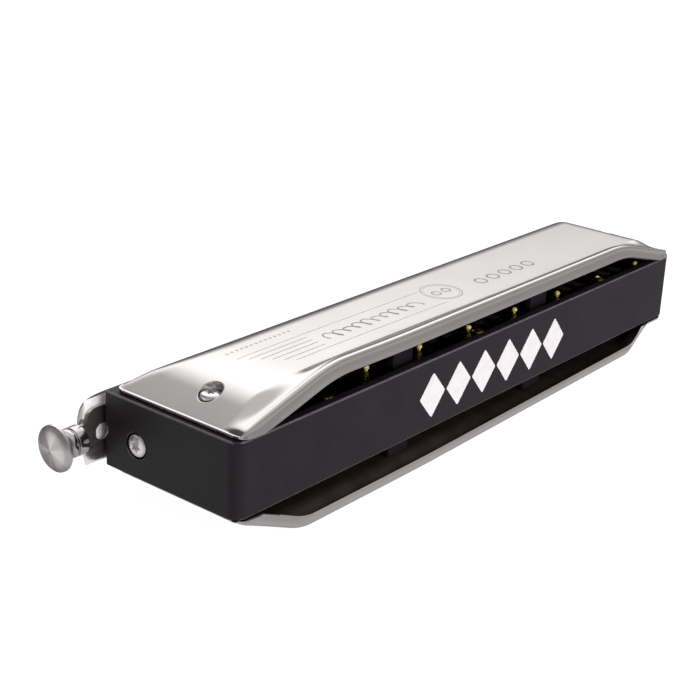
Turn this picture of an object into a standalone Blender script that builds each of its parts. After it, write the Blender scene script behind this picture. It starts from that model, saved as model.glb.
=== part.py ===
"""Slide harmonica with sixteen holes, held by the flat middle of its lower cover.

Frame: +Z up, +X towards the button end, the mouthpiece faces -Y and the comb's back wall faces +Y.
The origin is on the lower cover's flat underside, under the comb's centre. Lengths are in millimetres.
"""
import math

import bmesh
import bpy
from mathutils import Matrix, Vector

MM = 0.001
GAP = 0.3                       # clearance kept between neighbouring pieces

# Driving dimensions
HOLES = 16
PITCH = 9.3                     # from one mouth hole to the next
COMB_L = 175.0
COMB_D = 38.6
COMB_H = 17.35
DECK_RISE = 7.0                 # from the comb's face to the flat middle of a cover
COVER_RISE = 9.3                # from the comb's face to the top of a cover's rolled rear edge
TRAVEL = 4.5                    # how far the button pushes the slide in
SHEET = 0.6                     # steel sheet of the covers

# Heights, counted from the lower cover's flat underside
COMB_BOTTOM = DECK_RISE
COMB_TOP = COMB_BOTTOM + COMB_H
PORT_Z = COMB_BOTTOM + 7.6      # centre line of the mouth holes
BUTTON_Z = COMB_BOTTOM + 7.2    # axis of the button
COMB_FRONT = -COMB_D / 2
COMB_BACK = COMB_D / 2
COMB_END = COMB_L / 2

# Comb
BACK_CORNER, FRONT_CORNER = 3.0, 0.5
COMB_RIM = 0.35
CHANNEL_W = PITCH - 1.9
CHANNEL_FRONT = -16.2
PORT_W = 4.4
PORT_LOW, PORT_HIGH = 0.6, 3.3  # a port's span above or below the centre line
POCKET_FRONT, POCKET_BACK = -17.1, 17.1
POCKET_HALF_L = 75.6
POST_X = 3 * PITCH
POST_W = 7.2
POST_FRONT, POST_BACK = 12.2, 14.2

# Reed plates
PLATE_T = 1.0
PLATE_SINK = 1.15               # from the comb's face down to the plate's outer face
PLATE_HALF_L = POCKET_HALF_L - GAP
SLOT_W = 2.6
SLOT_FRONT = -13.4
REED_W = 2.0
REED_T = 0.3
REED_OFFSET = 1.95              # a chamber's two reeds lie this far either side of its middle
SCREW_ROWS = (-15.3, 15.2)
SCREW_COLUMNS = (-6 * PITCH, 0.0, 6 * PITCH)

# Covers
COVER_HALF_L = 86.2
COVER_FRONT, COVER_BACK = -17.5, 19.3
COVER_CORNER = 2.2
FLANGE_H = GAP + SHEET
RIM_LINES = {                   # start and slope of the rolled rear edge's climb from each end
    ("upper", "near"): (1.67, 0.28), ("upper", "far"): (1.67, 0.28),
    ("lower", "near"): (0.8, 0.44), ("lower", "far"): (-5.2, 0.75),
}
UPPER_RIM_DIP, UPPER_RIM_START, UPPER_RIM_SPAN = 0.45, 62.0, 30.0
LOWER_RIM_TAPER, LOWER_RIM_START = 0.02, 25.0   # both covers get lower towards the far end
DECK_TAPER, DECK_TAPER_START = 0.01, 45.0
RAMP_START, RAMP_SLOPE = 0.69, 0.56     # the cover's middle climbs faster,
EASE_START, EASE_SLOPE = 5.1, 0.1       # then slower, before it is flat
RISE_Y = 13.3                           # behind this the cover rises, or falls, to its rear edge
BEAD_R = 0.95
BEAD_DIP = 0.3
LIP_DROP = 2.9
LIP_FLARE = 1.1
CUP_X, CUP_Y = 79.4, 4.0
CUP_R, CUP_WALL, CUP_FLOOR = 2.6, 0.5, 2.6
HEAD_R = 2.2
CUP_TRIM_START, CUP_TRIM_SLOPE = 0.6, 0.5       # the cup's top stays inside the thickness of the sheet

# Slide, cage and mouthpiece, from the comb towards the player
CAGE_T = 0.7
SLIDE_T = 0.8
CAGE_FRONT = COMB_FRONT - GAP - CAGE_T
SLIDE_Y = CAGE_FRONT - GAP - SLIDE_T / 2
MOUTH_BACK = SLIDE_Y - SLIDE_T / 2 - GAP
MOUTH_DEPTH = 8.0
MOUTH_HALF_L = 91.0
MOUTH_HALF_H = 7.6
MOUTH_LEAN = 4.0                # the nose's ellipse is centred this far behind the back face
MOUTH_END = 10.0                # at each end the nose curves back to the comb over this length
MOUTH_EDGE = 1.0                # depth left at the very end
MOUTH_HOLE_R = 2.7
MOUTH_SCREW_X = 78.5
SLIDE_HALF_H = 6.1
SLIDE_LEFT = -72.8
SLIDE_Z = BUTTON_Z
WINDOW_W = 4.2
COLLAR_START, COLLAR_END, COLLAR_R = 93.0, 97.4, 3.3
CAP_START, CAP_R, CAP_T = 98.7, 5.2, 2.4

# Spring pocket at the button end
SPRING_X, SPRING_Y = 83.2, -15.8
SPRING_R, WIRE_R = 1.9, 0.35
SPRING_LOW, SPRING_HIGH = COMB_BOTTOM + 3.6, COMB_BOTTOM + 5.5
END_SCREW_Y, END_SCREW_Z = -9.7, COMB_BOTTOM + 7.4


# ---------------------------------------------------------------- helpers

def collection(name):
    """Return a new collection in the scene."""
    group = bpy.data.collections.new(name)
    bpy.context.scene.collection.children.link(group)
    return group


def material(name, colour, roughness, metallic):
    """Return a plain Principled material."""
    mat = bpy.data.materials.new(name)
    mat.use_nodes = True
    shader = mat.node_tree.nodes["Principled BSDF"]
    shader.inputs["Base Color"].default_value = (*colour, 1.0)
    shader.inputs["Roughness"].default_value = roughness
    shader.inputs["Metallic"].default_value = metallic
    return mat


def add_object(name, data, group, mat=None):
    """Link a mesh or curve as an object of the group."""
    obj = bpy.data.objects.new(name, data)
    group.objects.link(obj)
    if mat:
        data.materials.append(mat)
    return obj


def finish_mesh(bm, name):
    """Turn a bmesh into a mesh with outward faces."""
    bmesh.ops.recalc_face_normals(bm, faces=bm.faces[:])
    mesh = bpy.data.meshes.new(name)
    bm.to_mesh(mesh)
    bm.free()
    return mesh


def box_mesh(name, boxes):
    """Boxes given as (low corner, high corner) in millimetres."""
    bm = bmesh.new()
    for low, high in boxes:
        low, high = Vector(low) * MM, Vector(high) * MM
        place = Matrix.Translation((low + high) / 2)
        bmesh.ops.create_cube(bm, size=1.0, matrix=place @ Matrix.Diagonal((*(high - low), 1.0)))
    return finish_mesh(bm, name)


AXIS_TURN = {
    "x": Matrix.Rotation(math.pi / 2, 4, "Y"),
    "y": Matrix.Rotation(-math.pi / 2, 4, "X"),
    "z": Matrix.Identity(4),
}


def rod_mesh(name, rods, sides=16):
    """Cylinders given as (centre, axis, radius, length) in millimetres."""
    bm = bmesh.new()
    for centre, axis, radius, length in rods:
        place = Matrix.Translation(Vector(centre) * MM) @ AXIS_TURN[axis]
        bmesh.ops.create_cone(bm, cap_ends=True, segments=sides, radius1=radius * MM,
                              radius2=radius * MM, depth=length * MM, matrix=place)
    return finish_mesh(bm, name)


def turned(name, profile, sides, group, mat):
    """A solid turned about its own Z axis from (radius, height) points that run top to bottom."""
    bm = bmesh.new()
    points = [bm.verts.new((r * MM, 0.0, z * MM)) for r, z in profile]
    for first, second in zip(points, points[1:]):
        bm.edges.new((first, second))
    mesh = bpy.data.meshes.new(name)
    bm.to_mesh(mesh)
    bm.free()
    obj = add_object(name, mesh, group, mat)
    screw = obj.modifiers.new("Turn", "SCREW")
    screw.axis = "Z"
    screw.steps = sides
    screw.render_steps = sides
    screw.use_merge_vertices = True
    screw.merge_threshold = 0.00001
    return obj


def boolean(obj, operation, mesh):
    """Cut or join a mesh, held by a hidden tool object."""
    tool = add_object(f"{obj.name}_{operation.lower()}_{len(obj.modifiers)}", mesh, TOOLS)
    tool.hide_render = True
    tool.display_type = "WIRE"
    step = obj.modifiers.new(operation.title(), "BOOLEAN")
    step.operation = operation
    step.solver = "EXACT"
    step.object = tool
    return tool


def bevel(obj, width, segments=1, angle=40):
    """Round the sharp edges of an object."""
    step = obj.modifiers.new("Bevel", "BEVEL")
    step.width = width * MM
    step.segments = segments
    step.limit_method = "ANGLE"
    step.angle_limit = math.radians(angle)
    return step


def frozen(obj):
    """Replace an object's modifiers, or a curve, by the mesh that they make."""
    bpy.context.view_layer.update()
    seen = obj.evaluated_get(bpy.context.evaluated_depsgraph_get())
    mesh = bpy.data.meshes.new_from_object(seen)
    bm = bmesh.new()
    bm.from_mesh(mesh)
    bmesh.ops.remove_doubles(bm, verts=bm.verts[:], dist=0.000005)
    bmesh.ops.recalc_face_normals(bm, faces=bm.faces[:])
    bm.to_mesh(mesh)
    bm.free()
    solid = add_object(obj.name, mesh, obj.users_collection[0])
    solid.matrix_world = obj.matrix_world
    name = obj.name
    bpy.data.objects.remove(obj)
    solid.name = name
    return solid


def soft_min(a, b, blend):
    """The smaller of two values, rounded over where they are closer than blend."""
    near = max(blend - abs(a - b), 0.0) / blend
    return min(a, b) - near * near * blend / 4


def hole_x(index):
    """Place of a mouth hole along the comb, counted from the low end."""
    return (index - (HOLES - 1) / 2) * PITCH


def face_z(side, height):
    """Height at a distance outside the comb's upper (+1) or lower (-1) face."""
    return COMB_TOP + height if side > 0 else COMB_BOTTOM - height


def span(a, b):
    """The two values in rising order."""
    return (min(a, b), max(a, b))


def side_box(side, x, y, heights):
    """A box whose heights are counted outwards from the comb's upper or lower face."""
    z = span(face_z(side, heights[0]), face_z(side, heights[1]))
    return (x[0], y[0], z[0]), (x[1], y[1], z[1])


def rivet_y(x):
    """Where a reed is riveted: further back for the long reeds at the low end."""
    y = 12.3 - 0.04 * x
    if abs(abs(x) - POST_X) < POST_W / 2 + REED_W:
        y = POST_FRONT - 1.9
    return y


# ---------------------------------------------------------------- comb

def channel_boxes():
    """The 32 air channels, with the upper and lower one of each hole kept apart."""
    boxes = []
    for index in range(HOLES):
        x = hole_x(index)
        back = min(rivet_y(x - REED_OFFSET), rivet_y(x + REED_OFFSET)) - 0.6
        for side in (1, -1):
            inner = PORT_Z + side * PORT_LOW
            z = span(inner, face_z(side, -PLATE_SINK - PLATE_T - GAP / 2))
            half = CHANNEL_W / 2
            boxes.append(((x - half, CHANNEL_FRONT, z[0]), (x + half, back, z[1])))
    return boxes


def port_boxes():
    """Openings from the comb's front face into its channels."""
    boxes = []
    for index in range(HOLES):
        x = hole_x(index)
        for side in (1, -1):
            z = span(PORT_Z + side * PORT_LOW, PORT_Z + side * PORT_HIGH)
            half = PORT_W / 2
            boxes.append(((x - half, COMB_FRONT - 1, z[0]), (x + half, CHANNEL_FRONT + 1, z[1])))
    return boxes


def pocket_boxes():
    """Shallow pockets that the reed plates are let into."""
    depth = -PLATE_SINK - PLATE_T - GAP
    x = (-POCKET_HALF_L, POCKET_HALF_L)
    return [side_box(side, x, (POCKET_FRONT, POCKET_BACK), (depth, 1.0)) for side in (1, -1)]


def post_boxes():
    """Posts behind the channels that hold the middle of each cover up."""
    boxes = []
    for side, cover in ((1, "upper"), (-1, "lower")):
        for x in (-POST_X, POST_X):
            wide = (x - POST_W / 2, x + POST_W / 2)
            heights = (-PLATE_SINK - PLATE_T - GAP - 1.0, deck_top(wide[0], cover) - SHEET - GAP)
            boxes.append(side_box(side, wide, (POST_FRONT, POST_BACK), heights))
    return boxes


def spring_pocket_boxes():
    """Room for the spring's coil, for its fixed leg under the end screw, and a notch at the end."""
    coil = ((80.6, COMB_FRONT - 1, COMB_BOTTOM + 2.7), (86.3, -12.9, COMB_BOTTOM + 9.6))
    leg = ((80.7, -13.5, COMB_BOTTOM + 4.8), (82.1, -7.4, COMB_BOTTOM + 6.6))
    notch = ((86.0, COMB_FRONT - 1, COMB_BOTTOM + 6.3), (COMB_END + 1, COMB_FRONT + 1.0, COMB_BOTTOM + 9.4))
    return coil, leg, notch


def comb_screw_holes():
    """Blind holes for the cover inserts, plate screws, mouthpiece screws and the spring screw."""
    rods = []
    for side in (1, -1):
        rods += [((x, CUP_Y, face_z(side, -2.4)), "z", 2.4, 6.4) for x in (-CUP_X, CUP_X)]
        rods += [((x, y, face_z(side, -4.0)), "z", 1.0, 5.0) for x in SCREW_COLUMNS for y in SCREW_ROWS]
    rods += [((x, COMB_FRONT + 2.5, PORT_Z), "y", 1.2, 9.0) for x in (-MOUTH_SCREW_X, MOUTH_SCREW_X)]
    rods.append(((COMB_END - 4.0, END_SCREW_Y, END_SCREW_Z), "x", 1.5, 10.0))
    return rods


def make_comb(group):
    """The moulded body between the two reed plates."""
    half = Vector((COMB_END, COMB_BACK, COMB_H / 2))
    centre = Vector((0, 0, COMB_BOTTOM + COMB_H / 2))
    comb = add_object("comb", box_mesh("comb", [(centre - half, centre + half)]), group,
                      material("comb_plastic", (0.03, 0.026, 0.03), 0.42, 0.0))
    bm = bmesh.new()
    bm.from_mesh(comb.data)
    for sign, radius, segments in ((1, BACK_CORNER, 4), (-1, FRONT_CORNER, 1)):
        upright = [edge for edge in bm.edges if abs(edge.verts[0].co.z - edge.verts[1].co.z) > MM
                   and all(vert.co.y * sign > (COMB_BACK - 0.01) * MM for vert in edge.verts)]
        bmesh.ops.bevel(bm, geom=upright, offset=radius * MM, segments=segments, profile=0.5, affect="EDGES")
    bm.to_mesh(comb.data)
    bm.free()
    bevel(comb, COMB_RIM)
    boolean(comb, "DIFFERENCE", box_mesh("pockets", pocket_boxes()))
    boolean(comb, "DIFFERENCE", box_mesh("channels", channel_boxes()))
    boolean(comb, "DIFFERENCE", box_mesh("ports", port_boxes()))
    boolean(comb, "UNION", box_mesh("posts", post_boxes()))
    for box in spring_pocket_boxes():
        boolean(comb, "DIFFERENCE", box_mesh("spring_pocket", [box]))
    boolean(comb, "DIFFERENCE", rod_mesh("screw_holes", comb_screw_holes(), 12))
    head = [((COMB_END, END_SCREW_Y, END_SCREW_Z), "x", 3.0, 2.8)]
    boolean(comb, "DIFFERENCE", rod_mesh("head_hole", head, 24))
    return comb


# ---------------------------------------------------------------- reed plates

def slot_boxes(side):
    """Two slots a chamber, one under each of its reeds."""
    boxes = []
    for index in range(HOLES):
        for offset in (-REED_OFFSET, REED_OFFSET):
            x = hole_x(index) + offset
            heights = (-PLATE_SINK - PLATE_T - 1.0, -PLATE_SINK + 1.0)
            wide = (x - SLOT_W / 2, x + SLOT_W / 2)
            boxes.append(side_box(side, wide, (SLOT_FRONT, rivet_y(x) - 1.7), heights))
    return boxes


def reed_boxes(side):
    """The outer reed of each chamber, joined to the plate behind its slot."""
    boxes = []
    for index in range(HOLES):
        x = hole_x(index) - REED_OFFSET
        heights = (-PLATE_SINK - 0.1, -PLATE_SINK + REED_T)
        wide = (x - REED_W / 2, x + REED_W / 2)
        boxes.append(side_box(side, wide, (SLOT_FRONT + 0.4, rivet_y(x) + 1.0), heights))
    return boxes


def make_reed_plate(name, side, group, mat):
    """A brass plate with its slots, outer reeds, screw holes and clearances for the posts."""
    heights = (-PLATE_SINK - PLATE_T, -PLATE_SINK)
    wide, deep = (-PLATE_HALF_L, PLATE_HALF_L), (POCKET_FRONT + GAP, POCKET_BACK - GAP)
    plate = add_object(name, box_mesh(name, [side_box(side, wide, deep, heights)]), group, mat)
    boolean(plate, "DIFFERENCE", box_mesh("slots", slot_boxes(side)))
    clear = []
    for x in (-POST_X, POST_X):
        wide = POST_W / 2 + GAP
        clear.append(side_box(side, (x - wide, x + wide), (POST_FRONT - GAP, POST_BACK + GAP), (-5.0, 1.0)))
    boolean(plate, "DIFFERENCE", box_mesh("post_clearance", clear))
    rods = [((x, y, face_z(side, -PLATE_SINK)), "z", 1.0, 4.0) for x in SCREW_COLUMNS for y in SCREW_ROWS]
    boolean(plate, "DIFFERENCE", rod_mesh("plate_holes", rods, 10))
    boolean(plate, "UNION", box_mesh("reeds", reed_boxes(side)))
    return plate


# ---------------------------------------------------------------- covers

def climb(inset, line, top, blend):
    """Height of a line of the cover that rises from the flange at the cover's end to a given top."""
    foot = max(FLANGE_H, FLANGE_H + 1.1 * (inset - 0.8))
    rise = soft_min(line, top, blend)
    return max(FLANGE_H, soft_min(foot, rise, 1.0) if inset > 1.2 else foot)


def smooth_step(part):
    """A smooth step from 0 to 1."""
    part = min(max(part, 0.0), 1.0)
    return part * part * (3 - 2 * part)


def deck_top(x, cover):
    """Height of a cover's middle where it isn't near an end. The upper cover's falls towards the far end."""
    return DECK_RISE - (DECK_TAPER * max(DECK_TAPER_START - x, 0.0) if cover == "upper" else 0.0)


def rim_height(inset, x, cover):
    """Height of the rolled rear edge above the comb at a distance in from the cover's end."""
    start, slope = RIM_LINES[cover, "near" if x > 0 else "far"]
    if cover == "upper":
        dip = UPPER_RIM_DIP * smooth_step((UPPER_RIM_START - x) / UPPER_RIM_SPAN)
    else:
        dip = LOWER_RIM_TAPER * max(LOWER_RIM_START - x, 0.0)
    return climb(inset, start + slope * inset, COVER_RISE - dip, 1.5)


def deck_height(inset, x, cover):
    """Height of the cover's middle above the comb at a distance in from the cover's end."""
    ease = soft_min(EASE_START + EASE_SLOPE * inset, deck_top(x, cover), 0.4)
    return climb(inset, RAMP_START + RAMP_SLOPE * inset, ease, 1.6)


def front_height(y):
    """Height of the cover's front flank, steep at its foot and flatter towards the top."""
    foot = max(FLANGE_H, FLANGE_H + 1.1 * (y + 16.9))
    flank = 4.5 + 0.53 * (y + 12.4)
    return max(FLANGE_H, soft_min(foot, flank, 1.2) if y > -15.8 else foot)


def cover_section(inset, x, cover):
    """The cover's cross-section as (y, height) points from the front foot to the rear lip."""
    deck, rim = deck_height(inset, x, cover), rim_height(inset, x, cover)
    corner = COVER_CORNER
    cut = corner - math.sqrt(corner ** 2 - max(corner - inset, 0.0) ** 2)
    points = []
    for y in (COVER_FRONT, -16.9, -15.6, -14.2, -12.0, -10.2, -8.6, -7.2, -5.2):
        height = soft_min(front_height(y), deck, 1.2) if front_height(y) > FLANGE_H else FLANGE_H
        moved = y + cut * y / COVER_FRONT
        points.append((moved, max(FLANGE_H, height) if deck > FLANGE_H else FLANGE_H))
    size = 1 - math.exp(-(rim - FLANGE_H) / 1.9)
    radius = BEAD_R * max(size, 0.05)
    back = COVER_BACK - cut
    for part in (0.0, 0.25, 0.5, 0.75, 1.0):
        y = RISE_Y + (back - 2.0 - RISE_Y) * part
        points.append((y, deck + (rim - BEAD_DIP * size - deck) * smooth_step(part)))
    for angle in (115, 60, 5):
        turn = math.radians(angle)
        points.append((back - radius + radius * math.cos(turn), rim - radius + radius * math.sin(turn)))
    drop = max(min(LIP_DROP, rim - GAP - 0.1), radius * 1.3)
    points.append((back + 0.35 * LIP_FLARE * size, rim - radius - 0.4 * (drop - radius)))
    points.append((back + LIP_FLARE * size, rim - drop))
    return points


def cover_stations():
    """Distances in from a cover's end, close together where the sheet bends."""
    return (0.0, 0.35, 0.8, 1.5, 2.3, 3.2, 4.4, 6.4, 8.4, 10.0, 11.6, 14.0, 17.0, 19.0, 21.0, 23.2,
            26.0, 30.0, 36.0, 60.0)


def cover_sheet_mesh(cover):
    """A cover's outer surface, swept along X. The lower cover is turned over later, so its X runs back."""
    way = 1 if cover == "upper" else -1
    stations = [(-COVER_HALF_L + inset, inset) for inset in cover_stations()]
    stations += [(-x, inset) for x, inset in reversed(stations)]
    count = len(cover_section(0.0, 0.0, cover))
    bm = bmesh.new()
    bmesh.ops.create_grid(bm, x_segments=len(stations) - 1, y_segments=count - 1, size=0.5)
    columns = sorted(bm.verts, key=lambda vert: (round(vert.co.x, 5), vert.co.y))
    for column, (x, inset) in enumerate(stations):
        section = cover_section(inset, x * way, cover)
        for vert, (y, height) in zip(columns[column * count:(column + 1) * count], section):
            vert.co = Vector((x, y, height)) * MM
    mesh = bpy.data.meshes.new("cover_sheet")
    bm.to_mesh(mesh)
    bm.free()
    return mesh


def cup_mesh():
    """A round cup under each cover screw, trimmed along the ramp of the sheet."""
    rods = [((x, CUP_Y, 5.0), "z", CUP_R + CUP_WALL, 6.0) for x in (-CUP_X, CUP_X)]
    mesh = rod_mesh("cups", rods, 20)
    bm = bmesh.new()
    bm.from_mesh(mesh)
    for side in (1, -1):
        point = Vector((side * COVER_HALF_L, 0.0, CUP_TRIM_START)) * MM
        normal = Vector((side * CUP_TRIM_SLOPE, 0.0, 1.0))
        whole = bm.verts[:] + bm.edges[:] + bm.faces[:]
        near = [part for part in whole if is_on_side(part, side)]
        cut = bmesh.ops.bisect_plane(bm, geom=near, plane_co=point, plane_no=normal, clear_outer=True)
        rim = [part for part in cut["geom_cut"] if isinstance(part, bmesh.types.BMEdge)]
        bmesh.ops.contextual_create(bm, geom=rim)
    bmesh.ops.recalc_face_normals(bm, faces=bm.faces[:])
    bm.to_mesh(mesh)
    bm.free()
    return mesh


def is_on_side(part, side):
    """Whether a mesh vertex, edge or face lies at +X or at -X."""
    verts = [part] if isinstance(part, bmesh.types.BMVert) else part.verts
    return all(vert.co.x * side > 0 for vert in verts)


def make_cover(name, side, group, mat):
    """A sheet cover, bent at its foot and rolled at the back. The lower one is turned over."""
    sheet = add_object(name, cover_sheet_mesh("upper" if side > 0 else "lower"), group, mat)
    thick = sheet.modifiers.new("Sheet", "SOLIDIFY")
    thick.thickness = SHEET * MM
    thick.offset = -1.0
    place = Matrix.Translation((0, 0, face_z(side, 0) * MM))
    if side < 0:
        place = place @ Matrix.Rotation(math.pi, 4, "Y")
    tools = [boolean(sheet, "UNION", cup_mesh())]
    wells = [((x, CUP_Y, CUP_FLOOR + 4.0), "z", CUP_R, 8.0) for x in (-CUP_X, CUP_X)]
    tools.append(boolean(sheet, "DIFFERENCE", rod_mesh("wells", wells, 20)))
    holes = [((x, CUP_Y, CUP_FLOOR), "z", 1.3, 4.0) for x in (-CUP_X, CUP_X)]
    tools.append(boolean(sheet, "DIFFERENCE", rod_mesh("shank_holes", holes, 12)))
    for obj in [sheet] + tools:
        obj.matrix_world = place
    return sheet


# ---------------------------------------------------------------- mouthpiece, cage and slide

def mouthpiece_mesh():
    """A long bar with a rounded nose, swept along X and curved back to the comb at its ends."""
    reach = MOUTH_DEPTH + MOUTH_LEAN
    tall = MOUTH_HALF_H / math.sqrt(1 - (MOUTH_LEAN / reach) ** 2)
    limit = math.asin(MOUTH_HALF_H / tall)
    turns = [limit * (1 - 2 * step / 12) for step in range(13)]
    outline = [(reach * math.cos(turn) - MOUTH_LEAN, tall * math.sin(turn)) for turn in turns]
    ends = []
    for turn in (90, 72, 56, 42, 28, 14, 0):
        share = max(math.cos(math.radians(turn)), MOUTH_EDGE / MOUTH_DEPTH)
        ends.append((MOUTH_HALF_L - MOUTH_END * (1 - math.sin(math.radians(turn))), share))
    bm = bmesh.new()
    rings = []
    for x, share in ends + [(-x, share) for x, share in reversed(ends)]:
        rings.append([bm.verts.new(Vector((x, MOUTH_BACK - y * share, PORT_Z + z)) * MM) for y, z in outline])
    bm.faces.new(rings[0])
    bm.faces.new(rings[-1])
    for first, second in zip(rings, rings[1:]):
        for k in range(len(first)):
            n = (k + 1) % len(first)
            bm.faces.new((first[k], first[n], second[n], second[k]))
    return finish_mesh(bm, "mouthpiece")


def make_mouthpiece(group):
    """The plated mouthpiece: a bar with a rounded nose and sixteen round holes."""
    mouth = add_object("mouthpiece", mouthpiece_mesh(), group,
                       material("mouthpiece_plating", (0.78, 0.77, 0.78), 0.12, 1.0))
    middle = MOUTH_BACK - MOUTH_DEPTH / 2
    holes = [((hole_x(index), middle, PORT_Z), "y", MOUTH_HOLE_R, 12.0) for index in range(HOLES)]
    boolean(mouth, "DIFFERENCE", rod_mesh("mouth_holes", holes, 20))
    shanks = [((x, middle, PORT_Z), "y", 1.2, 12.0) for x in (-MOUTH_SCREW_X, MOUTH_SCREW_X)]
    boolean(mouth, "DIFFERENCE", rod_mesh("mouth_screw_holes", shanks, 12))
    heads = [((x, MOUTH_BACK - MOUTH_DEPTH, PORT_Z), "y", 2.4, 4.0) for x in (-MOUTH_SCREW_X, MOUTH_SCREW_X)]
    boolean(mouth, "DIFFERENCE", rod_mesh("mouth_head_holes", heads, 20))
    relief = [((MOUTH_HALF_L, SLIDE_Y, BUTTON_Z), "x", COLLAR_R + 0.5, 6.2)]
    boolean(mouth, "DIFFERENCE", rod_mesh("collar_relief", relief, 24))
    return mouth


def window_boxes(shift, side, width, low_y, high_y):
    """One window a hole, above (+1) or below (-1) the centre line."""
    z = span(PORT_Z + side * PORT_LOW, PORT_Z + side * (PORT_HIGH - 0.1))
    boxes = []
    for index in range(HOLES):
        x = hole_x(index) + shift
        boxes.append(((x - width / 2, low_y, z[0]), (x + width / 2, high_y, z[1])))
    return boxes


def make_slide_cage(group):
    """Backing plate with a rail along its top and bottom that guide the slide."""
    low_x, high_x = -83.0, 80.2
    top, bottom = SLIDE_Z + SLIDE_HALF_H + GAP, SLIDE_Z - SLIDE_HALF_H - GAP
    back = COMB_FRONT - GAP
    rail_front = MOUTH_BACK + GAP / 2
    plate = ((low_x, CAGE_FRONT, bottom - 0.7), (high_x, back, top + 0.7))
    cage = add_object("slide_cage", box_mesh("slide_cage", [plate]), group,
                      material("cage_plating", (0.62, 0.61, 0.62), 0.25, 1.0))
    rails = [((low_x, rail_front, top), (high_x, CAGE_FRONT + 0.2, top + 0.7)),
             ((low_x, rail_front, bottom - 0.7), (high_x, CAGE_FRONT + 0.2, bottom))]
    boolean(cage, "UNION", box_mesh("rails", rails))
    for side in (1, -1):
        windows = window_boxes(0.0, side, PORT_W, CAGE_FRONT - 1, back + 1)
        boolean(cage, "DIFFERENCE", box_mesh("cage_windows", windows))
    rods = [((x, CAGE_FRONT, PORT_Z), "y", 1.2, 4.0) for x in (-MOUTH_SCREW_X, MOUTH_SCREW_X)]
    boolean(cage, "DIFFERENCE", rod_mesh("cage_screw_holes", rods, 12))
    return cage


def arc(centre, radius, start, end, steps):
    """Points of an arc, with angles in degrees."""
    points = []
    for step in range(steps + 1):
        turn = math.radians(start + (end - start) * step / steps)
        points.append((centre[0] + radius * math.cos(turn), centre[1] + radius * math.sin(turn)))
    return points


def slide_outline():
    """Half of the slide's outline above the button axis, from its neck to its far end."""
    neck, shoulder = 2.6, SLIDE_HALF_H
    start = COLLAR_START - 0.1
    tongue = [(COLLAR_START + 1.9, 0.0), (COLLAR_START + 1.9, neck), (start, neck)]
    hollow = arc((start, 4.6), 1.55, -90, -150, 3)
    round_over = arc((88.6, shoulder - 2.7), 2.7, 25, 90, 4)
    return tongue + hollow + round_over + [(SLIDE_LEFT, shoulder), (SLIDE_LEFT, 0.0)]


def make_slide(group):
    """Thin slide with two rows of windows, a slot for a screw, and a flared tail with a hole."""
    upper = slide_outline()
    outline = upper + [(x, -z) for x, z in reversed(upper[1:-1])]
    curve = bpy.data.curves.new("slide", "CURVE")
    curve.dimensions = "2D"
    curve.fill_mode = "BOTH"
    curve.extrude = SLIDE_T / 2 * MM
    line = curve.splines.new("POLY")
    line.points.add(len(outline) - 1)
    for point, (x, z) in zip(line.points, outline):
        point.co = (x * MM, z * MM, 0.0, 1.0)
    line.use_cyclic_u = True
    drawn = add_object("slide", curve, group)
    upright = Matrix.Rotation(math.pi / 2, 4, "X")
    drawn.matrix_world = Matrix.Translation(Vector((0, SLIDE_Y, SLIDE_Z)) * MM) @ upright
    slide = frozen(drawn)
    slide.data.materials.append(material("slide_steel", (0.42, 0.40, 0.39), 0.2, 1.0))
    reach = (SLIDE_Y - 2, SLIDE_Y + 2)
    boolean(slide, "DIFFERENCE", box_mesh("upper_windows", window_boxes(0.0, 1, WINDOW_W, *reach)))
    boolean(slide, "DIFFERENCE", box_mesh("lower_windows", window_boxes(TRAVEL, -1, WINDOW_W, *reach)))
    slot_end = MOUTH_SCREW_X + TRAVEL
    boolean(slide, "DIFFERENCE", rod_mesh("slot_ends", [((slot_end, SLIDE_Y, PORT_Z), "y", 1.2, 4.0)], 12))
    slot = ((MOUTH_SCREW_X - 1.3, reach[0], PORT_Z - 1.2), (slot_end, reach[1], PORT_Z + 1.2))
    boolean(slide, "DIFFERENCE", box_mesh("screw_slot", [slot]))
    rods = [((87.1, SLIDE_Y, BUTTON_Z + 0.1), "y", 1.9, 4.0)]
    boolean(slide, "DIFFERENCE", rod_mesh("tail_hole", rods, 24))
    rods = [((SPRING_X + 1.3, SLIDE_Y, SPRING_LOW), "y", 0.8, 4.0)]
    boolean(slide, "DIFFERENCE", rod_mesh("spring_hole", rods, 12))
    return slide


# ---------------------------------------------------------------- button

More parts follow.
